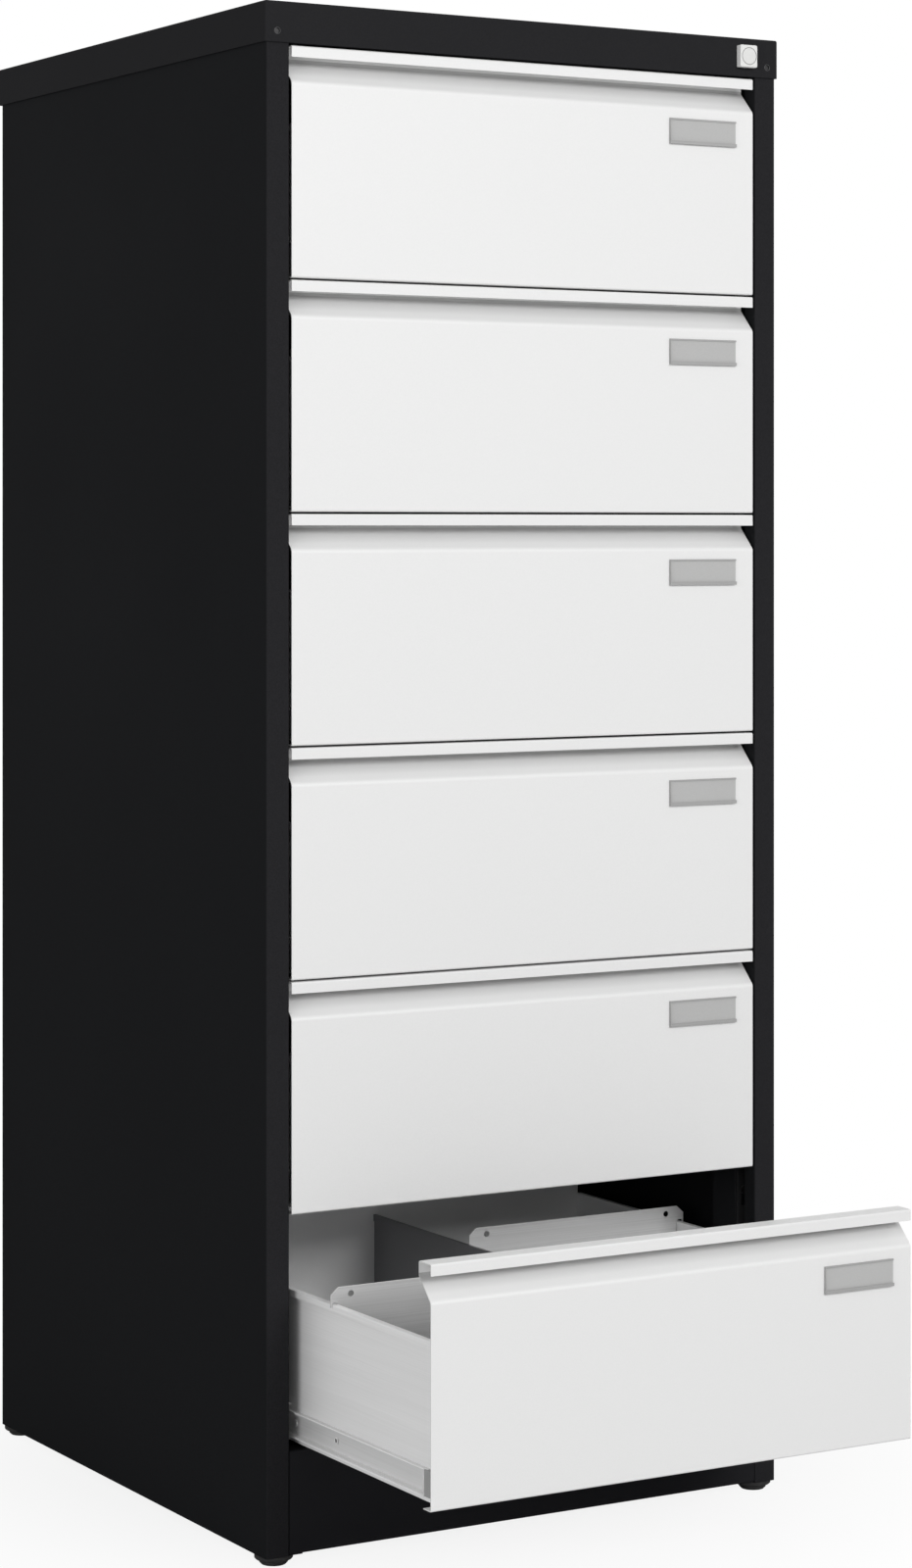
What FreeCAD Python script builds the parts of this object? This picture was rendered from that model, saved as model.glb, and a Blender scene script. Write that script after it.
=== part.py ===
import FreeCAD, Part
import os
import re

import Sketcher
from FreeCAD import Rotation, Vector

# Card index cabinet: a folded steel carcass with six drawers, each for two rows of cards.
# Lengths are in millimetres. The front faces -Y, +X is on its right and Z is 0 on the floor.
# The origin is the centre of the carcass footprint.

drawer_count = 6
open_drawer = 6

sizes = {
    # Carcass
    "body_width": 585.0,
    "body_depth": 630.0,
    "panel_sheet": 1.0,
    "panel_bend": 2.0,
    "stile_width": 25.0,
    "stile_return": 18.0,
    "rear_flange": 15.0,
    "top_flange": 15.0,
    "base_flange": 40.0,
    "base_flange_set_back": 2.0,
    "plinth_height": 99.0,
    "plinth_recess": 0.5,
    "plinth_side_gap": 0.3,
    "plinth_shelf": 26.0,
    "base_upstand": 20.0,
    "back_bead_width": 34.0,
    "back_bead_depth": 2.5,
    "back_bead_slope": 6.0,
    "back_bead_spacing": 180.0,
    "back_top_gap": 0.3,
    # Top cover
    "fascia_height": 39.0,
    "cover_sheet": 1.2,
    "cover_proud": 2.0,
    "cover_rear_proud": 4.0,
    "cover_lip": 15.0,
    "cover_side_play": 0.5,
    "cover_bend": 2.0,
    "cover_screw_inset": 11.0,
    "cover_screw_drop": 28.5,
    "cover_access_hole": 6.0,
    "screw_head": 5.4,
    "screw_head_height": 0.6,
    "screw_shank": 3.5,
    "screw_length": 9.0,
    "screw_play": 0.1,
    # Levelling feet
    "foot_height": 9.0,
    "foot_inset": 16.5,
    "foot_flange_diameter": 37.0,
    "foot_flange_height": 4.0,
    "foot_pad_diameter": 27.5,
    "foot_pad_bevel": 2.0,
    "foot_rim_bevel": 1.2,
    "foot_stem": 8.0,
    "foot_stem_length": 24.0,
    "foot_hole_play": 0.4,
    "foot_nut_width": 13.0,
    "foot_nut_height": 6.5,
    # Drawer fronts
    "front_height": 220.5,
    "front_gap": 2.0,
    "side_gap": 2.5,
    "front_sheet": 1.0,
    "front_bend": 1.8,
    "face_bend": 7.0,
    "lip_height": 10.9,
    "recess_depth": 21.0,
    "recess_wall": 13.5,
    "front_flange": 14.0,
    # Label holders
    "label_width": 80.0,
    "label_height": 26.0,
    "label_side": 21.6,
    "label_drop": 45.0,
    "label_sheet": 0.6,
    "label_top_lip": 1.8,
    "label_top_depth": 2.0,
    "label_ledge": 3.2,
    "label_ledge_depth": 3.0,
    # Drawer trays
    "tray_width": 506.0,
    "tray_sheet": 1.0,
    "tray_bend": 2.0,
    "tray_rise": 1.5,
    "tray_height": 147.0,
    "tray_back": 587.0,
    "rear_wall_height": 183.5,
    "rear_hem": 8.0,
    "roll_width": 5.0,
    "roll_height": 6.5,
    "tray_front_flange": 12.0,
    "divider_foot": 12.0,
    "divider_hem": 3.0,
    "divider_hem_height": 7.0,
    # Card followers
    "follower_sheet": 1.2,
    "follower_rise": 16.3,
    "follower_play": 0.5,
    "follower_seat_gap": 0.3,
    "follower_floor_gap": 2.0,
    "follower_foot": 20.0,
    "ear_hook": 1.6,
    "ear_hook_drop": 2.5,
    "ear_notch": 2.0,
    "ear_chamfer_across": 8.0,
    "ear_chamfer_down": 7.0,
    "ear_hole": 5.6,
    "ear_hole_inset": 21.5,
    "ear_hole_rise": 9.0,
    "left_follower_back": 198.0,
    "right_follower_back": 388.0,
    # Slides
    "slide_length": 560.0,
    "slide_centre": 21.3,
    "slide_thickness": 12.2,
    "cabinet_member_back": 24.0,
    "cabinet_member_sheet": 1.2,
    "cabinet_member_clear": 0.9,
    "drawer_member_back": 21.6,
    "drawer_member_sheet": 1.0,
    "drawer_member_height": 22.6,
    "drawer_member_depth": 7.0,
    "member_lip": 1.2,
    "member_lip_sheet": 0.8,
    "member_slot_back": 176.0,
    "member_slot_length": 8.0,
    "member_slot_height": 5.0,
    "race_gap": 4.8,
    "ball_diameter": 4.7,
    "ball_play": 0.1,
    "ball_offset": 4.1,
    "ball_spacing": 40.0,
    "cage_length": 120.0,
    "cage_sheet": 0.6,
    "cage_edge": 1.2,
    "cage_back_gap": 0.6,
    "drawer_travel": 430.0,
    "drawer_pull": 267.0,
    # Slide uprights
    "upright_width": 40.0,
    "upright_sheet": 1.2,
    "front_upright_back": 32.5,
    "rear_upright_back": 520.0,
    # Lock
    "lock_inset": 38.0,
    "lock_drop": 19.0,
    "escutcheon_width": 20.5,
    "escutcheon_height": 22.5,
    "escutcheon_depth": 7.5,
    "escutcheon_corner": 1.5,
    "escutcheon_edge": 0.8,
    "barrel_diameter": 18.6,
    "barrel_length": 22.0,
    "barrel_play": 0.2,
    "plug_diameter": 16.5,
    "plug_clearance": 0.05,
    "plug_length": 31.5,
    "cam_hub": 13.0,
    "cam_width": 8.0,
    "cam_sheet": 2.0,
    "cam_reach": 10.0,
    "cam_pin": 4.0,
    "cam_pin_length": 8.3,
    "lock_nut_width": 23.0,
    "lock_nut_height": 3.5,
    "bar_back": 30.0,
    "bar_sheet": 2.0,
    "bar_inset": 11.0,
    "bar_width": 14.0,
    "bar_tail": 20.0,
    "bar_head_height": 15.0,
    "bar_slot_play": 0.45,
    "guide_rivet": 5.0,
    "guide_rivet_head": 9.0,
    "guide_head_height": 1.8,
    "guide_play": 0.3,
    "guide_spacing": 890.0,
    "guide_drop": 290.0,
    "hook_reach": 8.0,
    "hook_height": 12.0,
    "hook_gap": 1.5,
    "catch_rise": 60.0,
    "catch_height": 15.0,
    "catch_reach": 10.5,
    "catch_back": 34.0,
    "catch_sheet": 2.0,
}

# Sizes that follow from the ones above, written as expressions.
pitch = "(front_height + front_gap)"
first_front = "(foot_height + plinth_height + front_gap)"
cabinet_top = f"({first_front} + {drawer_count} * {pitch} + fascia_height)"
panel_top = f"({cabinet_top} - cover_sheet)"
half_body = "(body_width / 2)"
front_width = "(body_width - 2 * stile_width - 2 * side_gap)"
tray_top = "(tray_rise + tray_height)"
tray_floor = "(tray_rise + tray_sheet)"
tray_half = "(tray_width / 2)"
face_top = "(front_height - recess_wall - recess_depth)"
slide_face = "(tray_width / 2 + slide_thickness)"
drawer_race = "(drawer_member_height / 2)"
cabinet_race = "(drawer_member_height / 2 + race_gap)"
cage_back = ("((cabinet_member_back + drawer_member_back + slide_length) / 2"
             " - cage_length / 2)")
lock_across = "(body_width / 2 - lock_inset)"
lock_level = f"({cabinet_top} - lock_drop)"
lock_face = "(cover_proud + escutcheon_depth)"
pin_offset = "(cam_reach * sqrt(0.5))"
bar_lift = "(2 * cam_reach * sqrt(0.5))"

doc = FreeCAD.newDocument("CardIndexCabinet")
sheet = doc.addObject("Spreadsheet::Sheet", "Sizes")
for row, (alias, size) in enumerate(sizes.items(), start=1):
    sheet.set(f"A{row}", alias)
    sheet.set(f"B{row}", str(size))
    sheet.setAlias(f"B{row}", alias)
doc.recompute()

nodes = []


# Helpers for sizes, sketches and features

def bound(expression):
    """The expression with every size name turned into a reference to the sheet."""
    return re.sub(r"[a-z_]+", lambda word: sheet_name(word.group()), expression)


def sheet_name(word):
    return f"Sizes.{word}" if word in sizes else word


def number(expression):
    """The value that an expression has now."""
    result = sheet.evalExpression(expression)
    return float(getattr(result, "Value", result))


def keep(item, label):
    """Names a finished sub-part."""
    item.Label = label
    nodes.append(item)
    return item


def place(item, across="0", back="0", up="0"):
    """Puts an item at a distance across from the centre, back from the front plane and up."""
    item.setExpression("Placement.Base.x", bound(across))
    item.setExpression("Placement.Base.y", bound(f"{back} - body_depth / 2"))
    item.setExpression("Placement.Base.z", bound(up))


def new_body(name):
    return doc.addObject("PartDesign::Body", name)


def new_sketch(body, plane, level="0"):
    """A sketch on one of the body's origin planes, moved along that plane's normal axis."""
    drawing = body.newObject("Sketcher::SketchObject", f"{body.Name}Sketch")
    origin_plane = next(item for item in body.Origin.OriginFeatures if item.Role == plane)
    drawing.AttachmentSupport = (origin_plane, [""])
    drawing.MapMode = "FlatFace"
    sign = "-" if plane == "XZ_Plane" else ""
    drawing.setExpression("AttachmentOffset.Base.z", bound(f"{sign}({level})"))
    return drawing


def draw_outline(drawing, corners):
    """A closed line through corners whose coordinates are expressions."""
    points = [Vector(number(across), number(along), 0) for across, along in corners]
    count = len(points)
    first = drawing.GeometryCount
    sides = [Part.LineSegment(points[index], points[(index + 1) % count]) for index in range(count)]
    drawing.addGeometry(sides, False)
    joins = [Sketcher.Constraint("Coincident", first + index, 2, first + (index + 1) % count, 1)
             for index in range(count)]
    drawing.addConstraint(joins)
    for index, (across, along) in enumerate(corners):
        fix_point(drawing, first + index, 1, points[index], across, along)


def fix_point(drawing, line, end, point, across, along):
    """Ties a point to the sketch origin by two bound distances."""
    distances = [Sketcher.Constraint("DistanceX", -1, 1, line, end, point.x),
                 Sketcher.Constraint("DistanceY", -1, 1, line, end, point.y)]
    index = drawing.addConstraint(distances)[0]
    drawing.setExpression(f"Constraints[{index}]", bound(across))
    drawing.setExpression(f"Constraints[{index + 1}]", bound(along))


def draw_box(drawing, left, low, right, high):
    draw_outline(drawing, [(left, low), (right, low), (right, high), (left, high)])


def draw_circle(drawing, across, along, diameter):
    centre = Vector(number(across), number(along), 0)
    circle = Part.Circle(centre, Vector(0, 0, 1), number(diameter) / 2)
    index = drawing.addGeometry(circle, False)
    size = drawing.addConstraint(Sketcher.Constraint("Diameter", index, number(diameter)))
    drawing.setExpression(f"Constraints[{size}]", bound(diameter))
    fix_point(drawing, index, 3, centre, across, along)


def add_pad(body, drawing, length, towards=1, middle=False):
    """Pads a sketch along its plane's axis, forwards or backwards, or both ways alike."""
    pad = body.newObject("PartDesign::Pad", f"{body.Name}Pad")
    pad.Profile = (drawing, [""])
    pad.setExpression("Length", bound(length))
    flat_normal = -1 if drawing.AttachmentSupport[0][0].Role == "XZ_Plane" else 1
    pad.Reversed = towards != flat_normal
    if middle:
        pad.SideType = "Symmetric"
    doc.recompute()
    return pad


def cut_pocket(body, drawing, length, towards=1):
    """Cuts a sketch out of the body along its plane's axis and checks that it did cut."""
    before = body.Shape.Volume
    pocket = body.newObject("PartDesign::Pocket", f"{body.Name}Pocket")
    pocket.Profile = (drawing, [""])
    pocket.setExpression("Length", bound(length))
    flat_normal = -1 if drawing.AttachmentSupport[0][0].Role == "XZ_Plane" else 1
    pocket.Reversed = towards == flat_normal
    doc.recompute()
    if not pocket.Shape.Volume < before:
        raise RuntimeError(f"{pocket.Name} cuts nothing")
    return pocket


def edges_along(shape, axis, spots):
    """Names of the straight edges along an axis that stand at the spots in the other two axes."""
    others = [index for index in range(3) if index != axis]
    wanted = [(number(first), number(second)) for first, second in spots]
    names = []
    for index, edge in enumerate(shape.Edges, start=1):
        start, end = edge.Vertexes[0].Point, edge.Vertexes[-1].Point
        run = end - start
        if abs(run[axis]) < 0.5 * edge.Length:
            continue
        if abs(run[others[0]]) > 0.01 or abs(run[others[1]]) > 0.01:
            continue
        if any(abs(start[others[0]] - first) < 0.01 and abs(start[others[1]] - second) < 0.01
               for first, second in wanted):
            names.append(f"Edge{index}")
    return names


def round_edges(body, names, radius):
    """Rounds the named edges of the body's last feature."""
    base = body.Tip
    fillet = body.newObject("PartDesign::Fillet", f"{body.Name}Fillet")
    fillet.Base = (base, names)
    fillet.setExpression("Radius", bound(radius))
    doc.recompute()
    return fillet


def bevel_edges(body, names, size):
    """Bevels the named edges of the body's last feature."""
    base = body.Tip
    bevel = body.newObject("PartDesign::Chamfer", f"{body.Name}Bevel")
    bevel.Base = (base, names)
    bevel.setExpression("Size", bound(size))
    doc.recompute()
    return bevel


def round_bends(body, axis, outer_spots, inner_spots, radius, sheet_size):
    """Rounds the outside and the inside of the folds that run along an axis."""
    round_edges(body, edges_along(body.Tip.Shape, axis, outer_spots), radius)
    round_edges(body, edges_along(body.Tip.Shape, axis, inner_spots), f"{radius} - {sheet_size}")


def repeat_up(body, feature, spacing, copies):
    """Repeats a feature upwards."""
    pattern = body.newObject("PartDesign::LinearPattern", f"{body.Name}Pattern")
    pattern.Originals = [feature]
    up_axis = next(item for item in body.Origin.OriginFeatures if item.Role == "Z_Axis")
    pattern.Direction = (up_axis, [""])
    pattern.setExpression("Length", bound(f"{spacing} * {copies - 1}"))
    pattern.Occurrences = copies
    body.Tip = pattern
    doc.recompute()
    return pattern


def mirrored_pair(item, name):
    """The item and its mirror image about the centre plane, as two separate solids."""
    mirror = doc.addObject("Part::Mirroring", f"{name}Right")
    mirror.Source = item
    mirror.Base = Vector(0, 0, 0)
    mirror.Normal = Vector(1, 0, 0)
    pair = doc.addObject("Part::Compound", name)
    pair.Links = [item, mirror]
    doc.recompute()
    return pair


def group(name, items):
    compound = doc.addObject("Part::Compound", name)
    compound.Links = items
    return compound


# Carcass

def make_side_panel(side):
    """A side wall folded into a front stile with its return and a rear flange."""
    def across(inward):
        return f"({side} * ({half_body} - ({inward})))"

    body = new_body("SideLeft" if side < 0 else "SideRight")
    profile = new_sketch(body, "XY_Plane", "foot_height")
    draw_outline(profile, [
        (across("0"), "0"),
        (across("stile_width"), "0"),
        (across("stile_width"), "stile_return"),
        (across("stile_width - panel_sheet"), "stile_return"),
        (across("stile_width - panel_sheet"), "panel_sheet"),
        (across("panel_sheet"), "panel_sheet"),
        (across("panel_sheet"), "body_depth - panel_sheet"),
        (across("rear_flange"), "body_depth - panel_sheet"),
        (across("rear_flange"), "body_depth"),
        (across("0"), "body_depth"),
    ])
    add_pad(body, profile, f"{panel_top} - foot_height")
    outer = [(across("0"), "0"), (across("stile_width"), "0"), (across("0"), "body_depth")]
    inner = [(across("panel_sheet"), "panel_sheet"),
             (across("stile_width - panel_sheet"), "panel_sheet"),
             (across("panel_sheet"), "body_depth - panel_sheet")]
    round_bends(body, 2, outer, inner, "panel_bend", "panel_sheet")

    bottom = new_sketch(body, "XY_Plane", "foot_height")
    draw_box(bottom, across("panel_sheet / 2"), "base_flange_set_back",
             across("base_flange"), "body_depth - panel_sheet - back_top_gap")
    for back in ("foot_inset", "body_depth - foot_inset"):
        draw_circle(bottom, across("foot_inset"), back, "foot_stem + 2 * foot_hole_play")
    add_pad(body, bottom, "panel_sheet")

    top = new_sketch(body, "XY_Plane", f"{panel_top} - panel_sheet")
    draw_box(top, across("panel_sheet / 2"), "panel_sheet / 2",
             across("top_flange"), "body_depth - panel_sheet / 2")
    add_pad(body, top, "panel_sheet")

    screw_hole = new_sketch(body, "XZ_Plane")
    draw_circle(screw_hole, across("cover_screw_inset"), f"{cabinet_top} - cover_screw_drop",
                "screw_shank + 2 * screw_play")
    cut_pocket(body, screw_hole, "2 * panel_sheet")
    place(body)
    return keep(body, "side_left" if side < 0 else "side_right")


def make_back_panel():
    """A flat back sheet with three pressed upright beads, inside the rear flanges."""
    outer = "(body_depth - panel_sheet)"
    face = [(f"-({half_body} - panel_bend)", outer)]
    for position in (-1, 0, 1):
        centre = f"{position} * back_bead_spacing"
        face += [
            (f"{centre} - back_bead_width / 2", outer),
            (f"{centre} - back_bead_width / 2 + back_bead_slope", f"{outer} + back_bead_depth"),
            (f"{centre} + back_bead_width / 2 - back_bead_slope", f"{outer} + back_bead_depth"),
            (f"{centre} + back_bead_width / 2", outer),
        ]
    face.append((f"{half_body} - panel_bend", outer))
    inside = [(across, f"{back} - panel_sheet") for across, back in reversed(face)]
    body = new_body("BackPanel")
    profile = new_sketch(body, "XY_Plane", "foot_height + panel_sheet")
    draw_outline(profile, face + inside)
    add_pad(body, profile, f"{panel_top} - 2 * panel_sheet - back_top_gap - foot_height")
    place(body)
    return keep(body, "back_panel")


def make_base_pan():
    """The plinth, floor sheet and rear upstand, folded from one sheet."""
    low = "(foot_height + panel_sheet)"
    front = "plinth_recess"
    inner = "(plinth_recess + panel_sheet)"
    shelf = "(foot_height + plinth_height)"
    rear = "(body_depth - 2 * panel_sheet)"
    corners = [
        (front, low),
        (rear, low),
        (rear, f"{low} + base_upstand"),
        (f"{rear} - panel_sheet", f"{low} + base_upstand"),
        (f"{rear} - panel_sheet", f"{low} + panel_sheet"),
        (inner, f"{low} + panel_sheet"),
        (inner, f"{shelf} - panel_sheet"),
        ("plinth_recess + plinth_shelf", f"{shelf} - panel_sheet"),
        ("plinth_recess + plinth_shelf", shelf),
        (front, shelf),
    ]
    body = new_body("BasePan")
    profile = new_sketch(body, "YZ_Plane")
    draw_outline(profile, corners)
    add_pad(body, profile, "body_width - 2 * (stile_width + plinth_side_gap)", middle=True)
    outer = [(front, low), (front, shelf)]
    inside = [(inner, f"{low} + panel_sheet"), (inner, f"{shelf} - panel_sheet")]
    round_bends(body, 0, outer, inside, "panel_bend", "panel_sheet")
    place(body)
    return keep(body, "base_pan")


def make_top_cover():
    """A shallow cap whose front wall is the fascia, with a return lip and the lock hole."""
    def wall(offset):
        side = f"({half_body} + cover_proud - {offset})"
        return (f"-{side}", f"{offset} - cover_proud", side,
                f"body_depth + cover_rear_proud - {offset}")

    body = new_body("TopCover")
    plate = new_sketch(body, "XY_Plane", panel_top)
    draw_box(plate, *wall("0"))
    add_pad(body, plate, "cover_sheet")
    walls = new_sketch(body, "XY_Plane", f"{cabinet_top} - fascia_height")
    draw_box(walls, *wall("0"))
    draw_box(walls, *wall("cover_sheet"))
    add_pad(body, walls, "fascia_height - cover_sheet / 2")

    side = f"({half_body} + cover_proud)"
    rear = "(body_depth + cover_rear_proud)"
    corners = [(sign + side, back) for sign in ("-", "") for back in ("-cover_proud", rear)]
    rim = edges_along(body.Tip.Shape, 2, corners)
    rim += edges_along(body.Tip.Shape, 0, [("-cover_proud", cabinet_top), (rear, cabinet_top)])
    rim += edges_along(body.Tip.Shape, 1, [("-" + side, cabinet_top), (side, cabinet_top)])
    round_edges(body, rim, "cover_bend")

    lip = new_sketch(body, "XY_Plane", f"{cabinet_top} - fascia_height")
    lip_side = f"({half_body} - stile_width - cover_side_play)"
    draw_box(lip, f"-{lip_side}", "cover_sheet / 2 - cover_proud", lip_side, "cover_lip")
    add_pad(body, lip, "cover_sheet")

    holes = new_sketch(body, "XZ_Plane", "-cover_proud")
    draw_circle(holes, lock_across, lock_level, "barrel_diameter + 2 * barrel_play")
    for sign in ("-", ""):
        draw_circle(holes, f"{sign}({half_body} - cover_screw_inset)",
                    f"{cabinet_top} - cover_screw_drop", "cover_access_hole")
    cut_pocket(body, holes, "1.5 * cover_sheet")
    place(body)
    return keep(body, "top_cover")


def make_levelling_feet():
    """Four screw feet: a stem, a round flange under the carcass and a smaller pad."""
    feet = []
    pad_radius = "foot_pad_diameter / 2"
    flange_radius = "foot_flange_diameter / 2"
    flange_low = "foot_height - foot_flange_height"
    for side in (-1, 1):
        for back in ("foot_inset", "body_depth - foot_inset"):
            body = new_body("LevellingFoot")
            profile = new_sketch(body, "XZ_Plane")
            draw_outline(profile, [
                ("0", "0"),
                (f"{pad_radius} - foot_pad_bevel", "0"),
                (pad_radius, "foot_pad_bevel"),
                (pad_radius, flange_low),
                (f"{flange_radius} - foot_rim_bevel", flange_low),
                (flange_radius, f"{flange_low} + foot_rim_bevel"),
                (flange_radius, "foot_height"),
                ("foot_stem / 2", "foot_height"),
                ("foot_stem / 2", "foot_height + foot_stem_length"),
                ("0", "foot_height + foot_stem_length"),
            ])
            turn = body.newObject("PartDesign::Revolution", "LevellingFootTurn")
            turn.Profile = (profile, [""])
            turn.ReferenceAxis = (profile, ["V_Axis"])
            turn.Angle = 360
            place(body, f"{side} * ({half_body} - foot_inset)", back)
            feet.append(body)
    return keep(group("LevellingFeet", feet), "levelling_feet")


def make_slide_uprights():
    """Four upright channels on the side walls that carry the cabinet slide members."""
    uprights = []
    depth = f"({half_body} - panel_sheet - {slide_face})"
    for side in (-1, 1):
        def across(inward):
            return f"({side} * ({half_body} - panel_sheet - ({inward})))"

        for back in ("front_upright_back", "rear_upright_back"):
            rear = f"{back} + upright_width"
            body = new_body("SlideUpright")
            profile = new_sketch(body, "XY_Plane", "foot_height + 2 * panel_sheet")
            draw_outline(profile, [
                (across("0"), back),
                (across(depth), back),
                (across(depth), rear),
                (across("0"), rear),
                (across("0"), f"{rear} - upright_sheet"),
                (across(f"{depth} - upright_sheet"), f"{rear} - upright_sheet"),
                (across(f"{depth} - upright_sheet"), f"{back} + upright_sheet"),
                (across("0"), f"{back} + upright_sheet"),
            ])
            add_pad(body, profile, f"{panel_top} - foot_height - 3 * panel_sheet")
            place(body)
            uprights.append(body)
    return keep(group("SlideUprights", uprights), "slide_uprights")


def make_cabinet_slide_members():
    """Twelve wide channels, one on each side of each drawer, open towards the drawer."""
    out = f"(-{slide_face})"
    edge = f"(-({tray_half} + cabinet_member_clear))"
    half_inner = cabinet_race
    half_outer = f"({cabinet_race} + cabinet_member_sheet)"
    lip_end = f"({cabinet_race} - member_lip)"
    upper = [
        (out, half_outer),
        (edge, half_outer),
        (edge, lip_end),
        (f"{edge} - member_lip_sheet", lip_end),
        (f"{edge} - member_lip_sheet", half_inner),
        (f"{out} + cabinet_member_sheet", half_inner),
    ]
    lower = [(across, f"-({up})") for across, up in reversed(upper)]
    body = new_body("CabinetSlideMember")
    profile = new_sketch(body, "XZ_Plane")
    draw_outline(profile, [(across, f"{first_front} + slide_centre + {up}")
                           for across, up in upper + lower])
    pad = add_pad(body, profile, "slide_length")
    repeat_up(body, pad, pitch, drawer_count)
    pair = mirrored_pair(body, "CabinetSlideMembers")
    place(pair, back="cabinet_member_back")
    return keep(pair, "cabinet_slide_members")


# Lock

def make_lock_housing():
    """The square escutcheon and the barrel that passes through the fascia."""
    body = new_body("LockHousing")
    face = new_sketch(body, "XZ_Plane")
    draw_box(face, "-escutcheon_width / 2", "-escutcheon_height / 2",
             "escutcheon_width / 2", "escutcheon_height / 2")
    add_pad(body, face, "escutcheon_depth")
    corners = [(f"{sign}escutcheon_width / 2", f"{other}escutcheon_height / 2")
               for sign in ("-", "") for other in ("-", "")]
    round_edges(body, edges_along(body.Tip.Shape, 1, corners), "escutcheon_corner")
    front_edges = [f"Edge{index}" for index, edge in enumerate(body.Tip.Shape.Edges, start=1)
                   if edge.BoundBox.YMax < 0.01]
    bevel_edges(body, front_edges, "escutcheon_edge")
    barrel = new_sketch(body, "XZ_Plane", "escutcheon_depth")
    draw_circle(barrel, "0", "0", "barrel_diameter")
    add_pad(body, barrel, "barrel_length")
    bore = new_sketch(body, "XZ_Plane", "-1")
    draw_circle(bore, "0", "0", "plug_diameter + 2 * plug_clearance")
    cut_pocket(body, bore, "escutcheon_depth + barrel_length + 2")
    place(body, lock_across, f"-{lock_face}", lock_level)
    return keep(body, "lock_housing")


def make_lock_cylinder():
    """The turning plug with its cam lever and crank pin, at rest turned to unlocked."""
    body = new_body("LockCylinder")
    plug = new_sketch(body, "XZ_Plane")
    draw_circle(plug, "0", "0", "plug_diameter")
    add_pad(body, plug, "plug_length")
    lever = new_sketch(body, "XZ_Plane", "plug_length")
    draw_box(lever, "-cam_hub / 2", "-cam_width / 2", "cam_reach + cam_width / 2",
             "cam_width / 2")
    add_pad(body, lever, "cam_sheet")
    lever_ends = [(end, f"{sign}cam_width / 2") for end in ("cam_reach + cam_width / 2",
                                                         "-cam_hub / 2") for sign in ("-", "")]
    round_edges(body, edges_along(body.Tip.Shape, 1, lever_ends), "cam_width * 0.45")
    pin = new_sketch(body, "XZ_Plane", "plug_length + cam_sheet")
    draw_circle(pin, "cam_reach", "0", "cam_pin")
    add_pad(body, pin, "cam_pin_length")
    body.Placement.Rotation = Rotation(Vector(0, 1, 0), 45)
    place(body, lock_across, f"-{lock_face}", lock_level)
    return keep(body, "lock_cylinder")


def make_lock_bar():
    """The upright bar that the cam lifts, with a hook for each drawer and two guide slots."""
    inner = f"({half_body} - bar_inset - bar_width)"
    outer = f"({half_body} - bar_inset)"
    hook_top = f"({first_front} + catch_rise - hook_gap)"
    slot_level = f"({lock_level} - {pin_offset})"
    body = new_body("LockBar")
    strip = new_sketch(body, "XZ_Plane")
    draw_box(strip, inner, f"{hook_top} - hook_height - bar_tail", outer,
             f"{slot_level} + bar_head_height / 2")
    add_pad(body, strip, "bar_sheet")
    head = new_sketch(body, "XZ_Plane")
    draw_box(head, f"{lock_across} + 1", f"{slot_level} - bar_head_height / 2",
             f"{inner} + bar_width / 2", f"{slot_level} + bar_head_height / 2")
    add_pad(body, head, "bar_sheet")
    hook = new_sketch(body, "XZ_Plane")
    draw_box(hook, f"{inner} - hook_reach", f"{hook_top} - hook_height",
             f"{inner} + bar_width / 2", hook_top)
    hook_pad = add_pad(body, hook, "bar_sheet")
    repeat_up(body, hook_pad, pitch, drawer_count)
    slots = new_sketch(body, "XZ_Plane")
    pin_half = "(cam_pin / 2 + bar_slot_play)"
    draw_box(slots, f"{lock_across} + {pin_offset} - {pin_half}", f"{slot_level} - {pin_half}",
             f"{lock_across} + cam_reach + {pin_half}", f"{slot_level} + {pin_half}")
    middle = f"({inner} + bar_width / 2)"
    rivet_half = "(guide_rivet / 2 + guide_play)"
    for level in guide_levels():
        draw_box(slots, f"{middle} - {rivet_half}", f"{level} - {bar_lift} - {rivet_half}",
                 f"{middle} + {rivet_half}", f"{level} + {rivet_half}")
    cut_pocket(body, slots, "bar_sheet")
    place(body, back="bar_back")
    return keep(body, "lock_bar")


def guide_levels():
    """Heights of the two rivets that the bar slides on."""
    upper = f"({cabinet_top} - guide_drop)"
    return [upper, f"({upper} - guide_spacing)"]


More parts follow.
